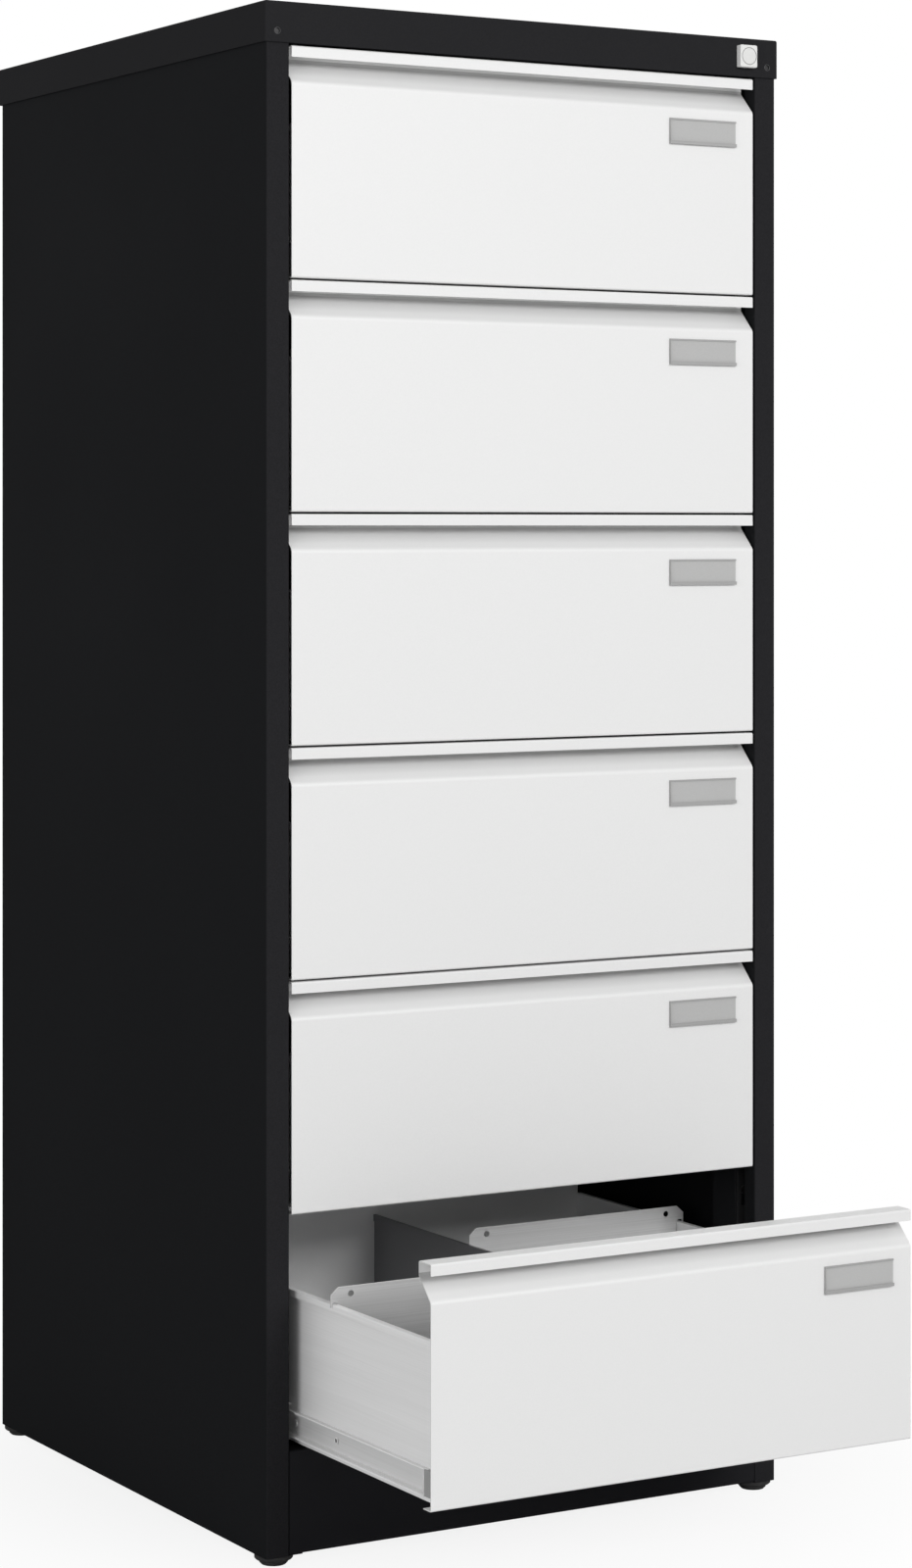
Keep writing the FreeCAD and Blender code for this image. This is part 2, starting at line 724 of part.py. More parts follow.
def make_screws_and_nuts():
    """Cover screws, foot nuts, the lock nut and the rivets that guide the bar."""
    items = []

    def add_cylinder(name, diameter, length, across, back, up):
        item = doc.addObject("Part::Cylinder", name)
        item.setExpression("Radius", bound(f"({diameter}) / 2"))
        item.setExpression("Height", bound(length))
        item.Placement.Rotation = Rotation(Vector(1, 0, 0), -90)
        place(item, across, back, up)
        return item

    def add_headed(name, head, head_height, shank, shank_length, across, seat, up):
        top = add_cylinder(f"{name}Head", head, head_height, across, f"{seat} - {head_height}", up)
        stem = add_cylinder(f"{name}Shank", shank, shank_length, across, seat, up)
        whole = doc.addObject("Part::Fuse", name)
        whole.Base = top
        whole.Tool = stem
        items.append(whole)

    def add_nut(name, width, height, hole, across, back, up, upright):
        prism = doc.addObject("Part::Prism", f"{name}Hexagon")
        prism.Polygon = 6
        prism.setExpression("Circumradius", bound(f"{width} / sqrt(3)"))
        prism.setExpression("Height", bound(height))
        bore = doc.addObject("Part::Cylinder", f"{name}Bore")
        bore.setExpression("Radius", bound(f"({hole}) / 2"))
        bore.setExpression("Height", bound(height))
        nut = doc.addObject("Part::Cut", name)
        nut.Base = prism
        nut.Tool = bore
        turn = Rotation(Vector(0, 0, 1), 90)
        nut.Placement.Rotation = turn if upright else Rotation(Vector(1, 0, 0), -90) * turn
        place(nut, across, back, up)
        items.append(nut)

    for side in (-1, 1):
        add_headed("CoverScrew", "screw_head", "screw_head_height", "screw_shank", "screw_length",
                   f"{side} * ({half_body} - cover_screw_inset)", "0",
                   f"{cabinet_top} - cover_screw_drop")
        for back in ("foot_inset", "body_depth - foot_inset"):
            add_nut("FootNut", "foot_nut_width", "foot_nut_height",
                    "foot_stem + 2 * plug_clearance", f"{side} * ({half_body} - foot_inset)",
                    back, "foot_height + panel_sheet", True)
    add_nut("LockNut", "lock_nut_width", "lock_nut_height",
            "barrel_diameter + 2 * plug_clearance", lock_across, "cover_sheet - cover_proud",
            lock_level, False)
    middle = f"({half_body} - bar_inset - bar_width / 2)"
    for level in guide_levels():
        add_headed("GuideRivet", "guide_rivet_head", "guide_head_height", "guide_rivet",
                   "front_upright_back - bar_back + guide_play", middle, "bar_back - guide_play",
                   level)
    return keep(group("ScrewsAndNuts", items), "screws_and_nuts")


# Drawers

def drawer_level(drawer):
    """Height of the bottom edge of a drawer's front; drawer 1 is at the top."""
    return f"({first_front} + {drawer_count - drawer} * {pitch})"


def drawer_pull(drawer):
    """How far a drawer stands open at rest."""
    return "drawer_pull" if drawer == open_drawer else "0"


def place_in_drawer(item, drawer, back="0", pull=None):
    pull = pull or drawer_pull(drawer)
    place(item, back=f"{back} - {pull}", up=drawer_level(drawer))


def make_drawer_front(drawer):
    """A folded front: flat face, sloping finger recess and a turned-down lip along the top."""
    slope = "front_sheet * (sqrt(2) - 1)"
    wall_low = "(front_height - recess_wall)"
    inner_top = "(front_height - front_sheet)"
    body = new_body(f"Drawer{drawer}Front")
    profile = new_sketch(body, "YZ_Plane")
    draw_outline(profile, [
        ("front_flange", "0"),
        ("0", "0"),
        ("0", face_top),
        ("recess_depth", wall_low),
        ("recess_depth", inner_top),
        ("front_sheet", inner_top),
        ("front_sheet", "front_height - lip_height"),
        ("0", "front_height - lip_height"),
        ("0", "front_height"),
        ("recess_depth + front_sheet", "front_height"),
        ("recess_depth + front_sheet", f"{wall_low} - {slope}"),
        ("front_sheet", f"{face_top} - {slope}"),
        ("front_sheet", "front_sheet"),
        ("front_flange", "front_sheet"),
    ])
    add_pad(body, profile, front_width, middle=True)
    round_edges(body, edges_along(body.Tip.Shape, 0, [("0", face_top)]), "face_bend - front_sheet")
    round_edges(body, edges_along(body.Tip.Shape, 0, [("front_sheet", f"{face_top} - {slope}")]),
                "face_bend")
    outer = [("0", "0"), ("0", "front_height"), ("recess_depth + front_sheet", "front_height"),
             ("recess_depth + front_sheet", f"{wall_low} - {slope}")]
    inner = [("front_sheet", "front_sheet"), ("front_sheet", inner_top),
             ("recess_depth", inner_top), ("recess_depth", wall_low)]
    round_bends(body, 0, outer, inner, "front_bend", "front_sheet")
    place_in_drawer(body, drawer)
    return keep(body, f"drawer_{drawer}_front")


def make_label_holder(drawer):
    """A card frame open at its right end, on the upper right of the front."""
    right = f"({front_width} / 2 - label_side)"
    left = f"({right} - label_width)"
    high = "(front_height - label_drop)"
    low = f"({high} - label_height)"
    body = new_body(f"Drawer{drawer}LabelHolder")
    profile = new_sketch(body, "YZ_Plane", left)
    draw_outline(profile, [
        ("0", low),
        ("0", high),
        ("-label_top_depth", high),
        ("-label_top_depth", f"{high} - label_top_lip"),
        ("label_sheet - label_top_depth", f"{high} - label_top_lip"),
        ("label_sheet - label_top_depth", f"{high} - label_sheet"),
        ("-label_sheet", f"{high} - label_sheet"),
        ("-label_sheet", f"{low} + label_sheet"),
        ("label_sheet - label_ledge_depth", f"{low} + label_sheet"),
        ("label_sheet - label_ledge_depth", f"{low} + label_ledge"),
        ("-label_ledge_depth", f"{low} + label_ledge"),
        ("-label_ledge_depth", low),
    ])
    add_pad(body, profile, "label_width")
    cap = new_sketch(body, "YZ_Plane", left)
    draw_outline(cap, [("0", low), ("0", high), ("-label_top_depth", high),
                       ("-label_ledge_depth", f"{low} + label_ledge"),
                       ("-label_ledge_depth", low)])
    add_pad(body, cap, "label_sheet")
    place_in_drawer(body, drawer)
    return keep(body, f"drawer_{drawer}_label_holder")


def make_tray(drawer):
    """Floor and side walls folded from one sheet, rolled edges, a tall rear wall and the catch."""
    edge = f"({tray_half} + roll_width)"
    right_half = [
        (tray_half, "tray_rise"),
        (tray_half, f"{tray_top} - tray_sheet"),
        (f"{edge} - tray_sheet", f"{tray_top} - tray_sheet"),
        (f"{edge} - tray_sheet", f"{tray_top} - roll_height"),
        (edge, f"{tray_top} - roll_height"),
        (edge, tray_top),
        (f"{tray_half} - tray_sheet", tray_top),
        (f"{tray_half} - tray_sheet", tray_floor),
    ]
    left_half = [(f"-({across})", up) for across, up in reversed(right_half)]
    body = new_body(f"Drawer{drawer}Tray")
    profile = new_sketch(body, "XZ_Plane", "front_bend")
    draw_outline(profile, right_half + left_half)
    add_pad(body, profile, "tray_back - tray_sheet / 2 - front_bend")
    outer = [(f"{sign}{tray_half}", "tray_rise") for sign in ("-", "")]
    inner = [(f"{sign}({tray_half} - tray_sheet)", tray_floor) for sign in ("-", "")]
    round_bends(body, 1, outer, inner, "tray_bend", "tray_sheet")
    roll_edges = [(f"{sign}{edge}", tray_top) for sign in ("-", "")]
    round_edges(body, edges_along(body.Tip.Shape, 1, roll_edges), "tray_sheet * 0.9")

    rear_top = "(tray_rise + rear_wall_height)"
    rear = new_sketch(body, "XZ_Plane", "tray_back - tray_sheet")
    draw_box(rear, f"-{tray_half}", "tray_rise", tray_half, rear_top)
    add_pad(body, rear, "tray_sheet")
    hem = new_sketch(body, "XZ_Plane", "tray_back - tray_sheet")
    draw_box(hem, f"-{tray_half}", f"{rear_top} - tray_sheet", tray_half, rear_top)
    add_pad(body, hem, "rear_hem")

    flanges = new_sketch(body, "XZ_Plane", "front_sheet")
    for sign in ("-", ""):
        draw_box(flanges, f"{sign}({tray_half} - tray_sheet / 2)", "tray_rise + tray_bend",
                 f"{sign}({tray_half} - tray_front_flange)", f"{tray_top} - tray_bend")
    add_pad(body, flanges, "tray_sheet")

    catch = new_sketch(body, "XZ_Plane", "catch_back")
    draw_box(catch, f"{tray_half} - tray_sheet / 2", "catch_rise",
             f"{tray_half} + catch_reach", "catch_rise + catch_height")
    add_pad(body, catch, "catch_sheet")
    place_in_drawer(body, drawer)
    return keep(body, f"drawer_{drawer}_tray")


def make_divider(drawer):
    """The middle wall between the two card rows, with a hemmed top and a welded foot."""
    half_sheet = "tray_sheet / 2"
    half_hem = "divider_hem / 2"
    hem_low = f"{tray_top} - divider_hem_height"
    body = new_body(f"Drawer{drawer}Divider")
    profile = new_sketch(body, "XZ_Plane", "front_bend")
    draw_outline(profile, [
        (f"-{half_sheet}", tray_floor),
        ("divider_foot", tray_floor),
        ("divider_foot", f"{tray_floor} + tray_sheet"),
        (half_sheet, f"{tray_floor} + tray_sheet"),
        (half_sheet, hem_low),
        (half_hem, hem_low),
        (half_hem, tray_top),
        (f"-{half_hem}", tray_top),
        (f"-{half_hem}", hem_low),
        (f"-{half_sheet}", hem_low),
    ])
    add_pad(body, profile, "tray_back - tray_sheet - front_bend")
    place_in_drawer(body, drawer)
    return keep(body, f"drawer_{drawer}_divider")


def make_follower(drawer, side, name, back):
    """A sliding plate that stands behind the cards, with ears over the side and the divider."""
    def across(outward):
        return f"({side} * ({outward}))"

    ear_end = f"({tray_half} + roll_width + follower_play + ear_hook)"
    hook_in = f"({tray_half} + roll_width + follower_play)"
    outer_wall = f"({tray_half} - tray_sheet - follower_play)"
    inner_wall = "(divider_hem / 2 + follower_play)"
    low = f"({tray_floor} + follower_floor_gap)"
    seat = f"({tray_top} + follower_seat_gap)"
    high = f"({tray_top} + follower_rise)"
    body = new_body(f"Drawer{drawer}Follower")
    profile = new_sketch(body, "XZ_Plane")
    draw_outline(profile, [
        (across(inner_wall), low),
        (across(outer_wall), low),
        (across(outer_wall), seat),
        (across(tray_half), seat),
        (across(tray_half), f"{tray_top} + ear_notch"),
        (across(hook_in), f"{tray_top} + ear_notch"),
        (across(hook_in), f"{tray_top} - ear_hook_drop"),
        (across(ear_end), f"{tray_top} - ear_hook_drop"),
        (across(ear_end), f"{high} - ear_chamfer_down"),
        (across(f"{ear_end} - ear_chamfer_across"), high),
        (across("follower_play + ear_chamfer_across"), high),
        (across("follower_play"), f"{high} - ear_chamfer_down"),
        (across("follower_play"), seat),
        (across(inner_wall), seat),
    ])
    draw_circle(profile, across(f"{ear_end} - ear_hole_inset"), f"{tray_top} + ear_hole_rise",
                "ear_hole")
    add_pad(body, profile, "follower_sheet")
    foot = new_sketch(body, "XZ_Plane")
    draw_box(foot, across(inner_wall), low, across(outer_wall), f"{low} + follower_sheet")
    add_pad(body, foot, "follower_foot")
    place_in_drawer(body, drawer, back)
    return keep(body, f"drawer_{drawer}_follower_{name}")


def make_drawer_slide_members(drawer):
    """The narrow channels on both tray walls, open outwards and closed at the front end."""
    root = f"(-{tray_half})"
    rim = f"({root} - drawer_member_depth)"
    upper = [
        (root, drawer_race),
        (f"{rim} + member_lip_sheet", drawer_race),
        (f"{rim} + member_lip_sheet", f"{drawer_race} + member_lip"),
        (rim, f"{drawer_race} + member_lip"),
        (rim, f"{drawer_race} - drawer_member_sheet"),
        (f"{root} - drawer_member_sheet", f"{drawer_race} - drawer_member_sheet"),
    ]
    lower = [(across, f"-({up})") for across, up in reversed(upper)]
    body = new_body(f"Drawer{drawer}SlideMember")
    profile = new_sketch(body, "XZ_Plane")
    draw_outline(profile, [(across, f"slide_centre + {up}") for across, up in upper + lower])
    add_pad(body, profile, "slide_length")
    end = new_sketch(body, "XZ_Plane")
    draw_box(end, rim, f"slide_centre - {drawer_race}", root, f"slide_centre + {drawer_race}")
    add_pad(body, end, "drawer_member_sheet")
    slot = new_sketch(body, "YZ_Plane", f"{root} - 2 * drawer_member_sheet")
    draw_box(slot,
             "member_slot_back - member_slot_length / 2", "slide_centre - member_slot_height / 2",
             "member_slot_back + member_slot_length / 2", "slide_centre + member_slot_height / 2")
    cut_pocket(body, slot, "3 * drawer_member_sheet")
    pair = mirrored_pair(body, f"Drawer{drawer}SlideMembers")
    place_in_drawer(pair, drawer, "drawer_member_back")
    return keep(pair, f"drawer_{drawer}_slide_members")


def make_ball_cages(drawer):
    """Folded strips between the two members, with windows for the balls of both races."""
    web = f"(cabinet_member_sheet + cage_back_gap - slide_thickness - {tray_half})"
    rim = f"(-{tray_half} - cage_edge)"
    ball_level = f"({drawer_race} + race_gap / 2)"
    half_high = f"({ball_level} + cage_sheet / 2)"
    half_low = f"({ball_level} - cage_sheet / 2)"
    upper = [
        (web, half_high),
        (rim, half_high),
        (rim, half_low),
        (f"{web} + cage_sheet", half_low),
    ]
    lower = [(across, f"-({up})") for across, up in reversed(upper)]
    body = new_body(f"Drawer{drawer}Cage")
    profile = new_sketch(body, "XZ_Plane")
    draw_outline(profile, [(across, f"slide_centre + {up}") for across, up in upper + lower])
    add_pad(body, profile, "cage_length")
    ball_across = f"(-{tray_half} - ball_offset)"
    windows = new_sketch(body, "XY_Plane", f"slide_centre - {half_high} - 1")
    ball_across = f"(-{tray_half} - ball_offset)"
    window_half = "(ball_diameter / 2 + ball_play)"
    for step in (-1, 0, 1):
        middle = f"cage_length / 2 + {step} * ball_spacing"
        draw_box(windows, f"{ball_across} - {window_half}", f"{middle} - {window_half}",
                 f"{ball_across} + {window_half}", f"{middle} + {window_half}")
    cut_pocket(body, windows, f"2 * {half_high} + 2")
    pair = mirrored_pair(body, f"Drawer{drawer}Cages")
    place_in_drawer(pair, drawer, cage_back, pull=f"{drawer_pull(drawer)} / 2")
    return keep(pair, f"drawer_{drawer}_ball_cages")


def make_drawer(drawer):
    make_drawer_front(drawer)
    make_label_holder(drawer)
    make_tray(drawer)
    make_divider(drawer)
    make_follower(drawer, -1, "left", "left_follower_back")
    make_follower(drawer, 1, "right", "right_follower_back")
    make_drawer_slide_members(drawer)
    make_ball_cages(drawer)


# Build, check and write

def check_document():
    """Stops if any object failed or any sub-part has no valid shape."""
    for item in doc.Objects:
        if "Invalid" in item.State or "Error" in item.State:
            raise RuntimeError(f"{item.Name} failed: {item.State}")
    for node in nodes:
        if node.Shape.isNull() or not node.Shape.isValid():
            raise RuntimeError(f"{node.Label} has no valid shape")


def write_parts():
    os.makedirs("parts", exist_ok=True)
    for node in nodes:
        node.Shape.exportStep(f"parts/{node.Label}.step")


for side in (-1, 1):
    make_side_panel(side)
make_back_panel()
make_base_pan()
make_top_cover()
make_levelling_feet()
make_slide_uprights()
make_cabinet_slide_members()
make_lock_housing()
make_lock_cylinder()
make_lock_bar()
make_screws_and_nuts()
for drawer in range(1, drawer_count + 1):
    make_drawer(drawer)

doc.recompute()
check_document()
write_parts()
for node in nodes:
    box = node.Shape.BoundBox
    print(node.Label, len(node.Shape.Solids), round(node.Shape.Volume),
          [round(value, 2) for value in (box.XMin, box.YMin, box.ZMin, box.XMax, box.YMax, box.ZMax)])
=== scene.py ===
import math

import bmesh
import bpy
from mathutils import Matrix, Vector


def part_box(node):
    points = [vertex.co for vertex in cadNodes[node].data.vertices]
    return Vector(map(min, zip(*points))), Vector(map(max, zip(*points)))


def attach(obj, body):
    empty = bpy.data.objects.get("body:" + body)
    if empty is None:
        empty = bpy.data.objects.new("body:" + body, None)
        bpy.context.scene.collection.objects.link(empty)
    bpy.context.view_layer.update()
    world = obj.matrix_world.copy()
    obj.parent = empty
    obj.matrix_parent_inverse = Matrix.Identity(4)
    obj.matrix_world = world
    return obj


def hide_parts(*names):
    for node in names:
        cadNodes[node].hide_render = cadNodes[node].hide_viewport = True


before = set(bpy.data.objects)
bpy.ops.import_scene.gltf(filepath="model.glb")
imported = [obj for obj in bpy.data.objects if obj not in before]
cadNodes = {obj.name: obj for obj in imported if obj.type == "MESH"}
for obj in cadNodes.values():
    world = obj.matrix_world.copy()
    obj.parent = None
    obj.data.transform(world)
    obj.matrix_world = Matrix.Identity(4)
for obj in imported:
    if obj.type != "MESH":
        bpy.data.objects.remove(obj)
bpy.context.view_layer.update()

# Card index cabinet, metres, +Z up, drawers open towards -Y.
mm = 0.001
drawerNumbers = range(1, 7)
trayHalf = 253 * mm
white = (1.0, 1.0, 1.0, 1.0)
black = (0.0, 0.0, 0.0, 1.0)
print("frame loaded:", len(cadNodes), "nodes")


# Helpers for node trees

def addNode(tree, kind, **settings):
    node = tree.nodes.new(kind)
    for key, value in settings.items():
        setattr(node, key, value)
    return node


def feed(tree, socket, source):
    # a socket takes either a link or a plain value
    if isinstance(source, bpy.types.NodeSocket):
        tree.links.new(source, socket)
    else:
        socket.default_value = source


def mathNode(tree, operation, first, second, clamp=False):
    node = addNode(tree, "ShaderNodeMath", operation=operation, use_clamp=clamp)
    feed(tree, node.inputs[0], first)
    feed(tree, node.inputs[1], second)
    return node.outputs[0]


def rangeNode(tree, value, low, high, toLow, toHigh):
    node = addNode(tree, "ShaderNodeMapRange")
    for name, source in (("Value", value), ("From Min", low), ("From Max", high),
                         ("To Min", toLow), ("To Max", toHigh)):
        feed(tree, node.inputs[name], source)
    return node.outputs["Result"]


def mixColours(tree, factor, first, second):
    node = addNode(tree, "ShaderNodeMix", data_type="RGBA")
    colourInputs = [s for s in node.inputs if s.type == "RGBA"]
    feed(tree, node.inputs["Factor"], factor)
    feed(tree, colourInputs[0], first)
    feed(tree, colourInputs[1], second)
    return [s for s in node.outputs if s.type == "RGBA"][0]


def newGroup(name, inputs, outputs):
    group = bpy.data.node_groups.new(name, "ShaderNodeTree")
    for socketName, kind, value in inputs:
        socket = group.interface.new_socket(socketName, in_out="INPUT", socket_type=kind)
        if value is not None:
            socket.default_value = value
    for socketName, kind in outputs:
        group.interface.new_socket(socketName, in_out="OUTPUT", socket_type=kind)
    return group, addNode(group, "NodeGroupInput"), addNode(group, "NodeGroupOutput")


def placeGroup(tree, group, **values):
    node = addNode(tree, "ShaderNodeGroup", node_tree=group)
    for name, source in values.items():
        feed(tree, node.inputs[name], source)
    return node


def emptyTree(holder):
    holder.use_nodes = True
    holder.node_tree.nodes.clear()
    return holder.node_tree


def newMaterial(name):
    material = bpy.data.materials.new(name)
    tree = emptyTree(material)
    output = addNode(tree, "ShaderNodeOutputMaterial")
    shader = addNode(tree, "ShaderNodeBsdfPrincipled")
    tree.links.new(shader.outputs["BSDF"], output.inputs["Surface"])
    place = addNode(tree, "ShaderNodeTexCoord").outputs["Object"]
    return material, tree, shader, place


def bumpFrom(tree, shader, height, strength, distance):
    bump = addNode(tree, "ShaderNodeBump")
    feed(tree, bump.inputs["Strength"], strength)
    feed(tree, bump.inputs["Distance"], distance)
    feed(tree, bump.inputs["Height"], height)
    tree.links.new(bump.outputs["Normal"], shader.inputs["Normal"])


def shade(colour, factor):
    return tuple(min(1.0, c * factor) for c in colour[:3]) + (1.0,)


def spread(tree, factor, colour, low, high):
    # a colour that runs from a darker to a lighter shade of itself
    return mixColours(tree, factor, shade(colour, low), shade(colour, high))


def partsOf(tree, vector):
    parts = addNode(tree, "ShaderNodeSeparateXYZ")
    feed(tree, parts.inputs[0], vector)
    return parts.outputs


def normalOf(tree):
    return partsOf(tree, addNode(tree, "ShaderNodeNewGeometry").outputs["Normal"])


# Effects that several finishes share

peelSettings = {"pebbleScale": 900.0, "pebbleDetail": 2.0, "pebbleRoughness": 0.55,
                "driftScale": 3.0, "driftDetail": 3.0, "speckle": (0.35, 0.65),
                "drift": (0.3, 0.7)}


def buildPowderPeel():
    # powder coat: a fine pebbled skin and a slow drift in tone
    p = peelSettings
    group, inner, outer = newGroup(
        "powderPeel",
        [("Place", "NodeSocketVector", None),
         ("Pebble Scale", "NodeSocketFloat", p["pebbleScale"]),
         ("Drift Scale", "NodeSocketFloat", p["driftScale"])],
        [("Height", "NodeSocketFloat"), ("Speckle", "NodeSocketFloat"),
         ("Drift", "NodeSocketFloat")])
    pebbles = addNode(group, "ShaderNodeTexNoise")
    feed(group, pebbles.inputs["Vector"], inner.outputs["Place"])
    feed(group, pebbles.inputs["Scale"], inner.outputs["Pebble Scale"])
    pebbles.inputs["Detail"].default_value = p["pebbleDetail"]
    pebbles.inputs["Roughness"].default_value = p["pebbleRoughness"]
    drift = addNode(group, "ShaderNodeTexNoise")
    feed(group, drift.inputs["Vector"], inner.outputs["Place"])
    feed(group, drift.inputs["Scale"], inner.outputs["Drift Scale"])
    drift.inputs["Detail"].default_value = p["driftDetail"]
    feed(group, outer.inputs["Height"], pebbles.outputs["Fac"])
    feed(group, outer.inputs["Speckle"],
         rangeNode(group, pebbles.outputs["Fac"], *p["speckle"], 0.0, 1.0))
    feed(group, outer.inputs["Drift"],
         rangeNode(group, drift.outputs["Fac"], *p["drift"], 0.0, 1.0))
    return group


grainSettings = {"stretch": (4.0, 900.0, 900.0), "bandStretch": (1.5, 45.0, 45.0),
                 "lineDetail": 2.0, "bandDetail": 4.0, "span": (0.3, 0.7)}


def buildRolledGrain():
    # rolled sheet: fine lines along one way, with broad soft bands between them
    p = grainSettings
    group, inner, outer = newGroup(
        "rolledGrain",
        [("Place", "NodeSocketVector", None), ("Stretch", "NodeSocketVector", p["stretch"]),
         ("Band Stretch", "NodeSocketVector", p["bandStretch"])],
        [("Lines", "NodeSocketFloat"), ("Bands", "NodeSocketFloat"),
         ("Height", "NodeSocketFloat")])
    readings = []
    for way, detail in (("Stretch", p["lineDetail"]), ("Band Stretch", p["bandDetail"])):
        scaled = addNode(group, "ShaderNodeVectorMath", operation="MULTIPLY")
        feed(group, scaled.inputs[0], inner.outputs["Place"])
        feed(group, scaled.inputs[1], inner.outputs[way])
        noise = addNode(group, "ShaderNodeTexNoise")
        feed(group, noise.inputs["Vector"], scaled.outputs[0])
        noise.inputs["Scale"].default_value = 1.0
        noise.inputs["Detail"].default_value = detail
        readings.append(noise.outputs["Fac"])
    for name, reading in zip(("Lines", "Bands"), readings):
        feed(group, outer.inputs[name], rangeNode(group, reading, *p["span"], 0.0, 1.0))
    feed(group, outer.inputs["Height"], readings[0])
    return group


dustSettings = {"amount": 0.1, "upward": (0.5, 1.0), "scale": 14.0, "detail": 6.0,
                "patches": (0.3, 0.75, 0.3, 1.0)}


def buildFineDust():
    # a trace of dust that settles on faces that look up
    p = dustSettings
    group, inner, outer = newGroup(
        "fineDust",
        [("Place", "NodeSocketVector", None), ("Amount", "NodeSocketFloat", p["amount"])],
        [("Mask", "NodeSocketFloat")])
    upward = rangeNode(group, normalOf(group)["Z"], *p["upward"], 0.0, 1.0)
    patches = addNode(group, "ShaderNodeTexNoise")
    feed(group, patches.inputs["Vector"], inner.outputs["Place"])
    patches.inputs["Scale"].default_value = p["scale"]
    patches.inputs["Detail"].default_value = p["detail"]
    settled = mathNode(group, "MULTIPLY", upward,
                       rangeNode(group, patches.outputs["Fac"], *p["patches"]))
    feed(group, outer.inputs["Mask"], mathNode(group, "MULTIPLY", settled,
                                               inner.outputs["Amount"], clamp=True))
    return group


powderPeel = buildPowderPeel()
rolledGrain = buildRolledGrain()
fineDust = buildFineDust()


# Finishes

paintSettings = {"drift": 0.35, "driftContrast": 0.6, "facing": (-0.9, -0.6), "bump": 0.35,
                 "dustTone": (0.42, 0.41, 0.39, 1.0), "smoother": 0.03, "rougher": 0.04}


def makePaint(name, colour, roughness, contrast, pebbleDepth=0.00003, dust=0.0, specular=0.5,
              paintedLightFrontTone=None, paintedShadeBelow=None):
    # the front tone is painted light: faces that look to the front take a tone of their own for
    # how differently the front and the sides are lit;
    # the recess shade is painted shade that darkens the finger recess: top, pitch, lip, end of
    # the fade, least tone
    material, tree, shader, place = newMaterial(name)
    p = paintSettings
    peel = placeGroup(tree, powderPeel, Place=place)
    speckle = peel.outputs["Speckle"]
    tone = spread(tree, speckle, colour, 1 - contrast, 1 + contrast)
    tone = mixColours(tree, mathNode(tree, "MULTIPLY", peel.outputs["Drift"], p["drift"]), tone,
                      shade(colour, 1 - p["driftContrast"] * contrast))
    if paintedLightFrontTone:
        # painted light: faces that look to the front take the front tone
        front = rangeNode(tree, normalOf(tree)["Y"], *p["facing"], 1.0, 0.0)
        tone = mixColours(tree, front, tone,
                          spread(tree, speckle, paintedLightFrontTone, 1 - contrast, 1 + contrast))
    if paintedShadeBelow:
        # painted shade: darker just under the lip of each finger recess, fading out lower down
        top, pitch, lip, end, least = paintedShadeBelow
        drop = mathNode(tree, "SUBTRACT", top, partsOf(tree, place)["Z"])
        depth = mathNode(tree, "MODULO", drop, pitch)
        fade = rangeNode(tree, depth, lip, end, least, 1.0)
        under = mathNode(tree, "GREATER_THAN", depth, lip)
        share = mathNode(tree, "MULTIPLY", under, mathNode(tree, "SUBTRACT", 1.0, fade))
        tone = mixColours(tree, share, tone, black)
    if dust:
        settled = placeGroup(tree, fineDust, Place=place, Amount=dust)
        tone = mixColours(tree, settled.outputs["Mask"], tone, p["dustTone"])
    feed(tree, shader.inputs["Base Color"], tone)
    feed(tree, shader.inputs["Roughness"],
         rangeNode(tree, peel.outputs["Drift"], 0.0, 1.0,
                   roughness - p["smoother"], roughness + p["rougher"]))
    shader.inputs["Specular IOR Level"].default_value = specular
    bumpFrom(tree, shader, peel.outputs["Height"], p["bump"], pebbleDepth)
    return material


sheetSettings = {"across": 1100.0, "along": 6.0, "bandAcross": 38.0, "bandAlong": 1.2,
                 "bandShare": 0.5, "bandContrast": 1.5, "bump": 0.3, "lineDepth": 0.00001,
                 "smoother": 0.05, "rougher": 0.06}


def makeSheet(name, colour, roughness, contrast, along, metallic):
    # bare sheet, brushed along one axis
    material, tree, shader, place = newMaterial(name)
    p = sheetSettings
    stretch = [p["along"] if axis == along else p["across"] for axis in "XYZ"]
    bands = [p["bandAlong"] if axis == along else p["bandAcross"] for axis in "XYZ"]
    grain = placeGroup(tree, rolledGrain, Place=place, Stretch=stretch, **{"Band Stretch": bands})
    tone = spread(tree, grain.outputs["Lines"], colour, 1 - contrast, 1 + contrast)
    tone = mixColours(tree, mathNode(tree, "MULTIPLY", grain.outputs["Bands"], p["bandShare"]),
                      tone, shade(colour, 1 - p["bandContrast"] * contrast))
    feed(tree, shader.inputs["Base Color"], tone)
    feed(tree, shader.inputs["Roughness"],
         rangeNode(tree, grain.outputs["Lines"], 0.0, 1.0,
                   roughness - p["smoother"], roughness + p["rougher"]))
    shader.inputs["Metallic"].default_value = metallic
    bumpFrom(tree, shader, grain.outputs["Height"], p["bump"], p["lineDepth"])
    return material


mouldedSettings = {"pebbleScale": 1600.0, "driftScale": 60.0, "tones": (0.8, 1.35), "dust": 0.25,
                   "dustTone": (0.2, 0.19, 0.18, 1.0), "bump": 0.4, "pebbleDepth": 0.00004,
                   "roughSpan": 0.06}


def makeMoulded(name, colour, roughness):
    # moulded plastic with a fine grain and a little dust
    material, tree, shader, place = newMaterial(name)
    p = mouldedSettings
    peel = placeGroup(tree, powderPeel, Place=place, **{"Pebble Scale": p["pebbleScale"],
                                                        "Drift Scale": p["driftScale"]})
    tone = spread(tree, peel.outputs["Drift"], colour, *p["tones"])
    settled = placeGroup(tree, fineDust, Place=place, Amount=p["dust"])
    tone = mixColours(tree, settled.outputs["Mask"], tone, p["dustTone"])
    feed(tree, shader.inputs["Base Color"], tone)
    feed(tree, shader.inputs["Roughness"],
         rangeNode(tree, peel.outputs["Speckle"], 0.0, 1.0,
                   roughness - p["roughSpan"], roughness + p["roughSpan"]))
    bumpFrom(tree, shader, peel.outputs["Height"], p["bump"], p["pebbleDepth"])
    return material


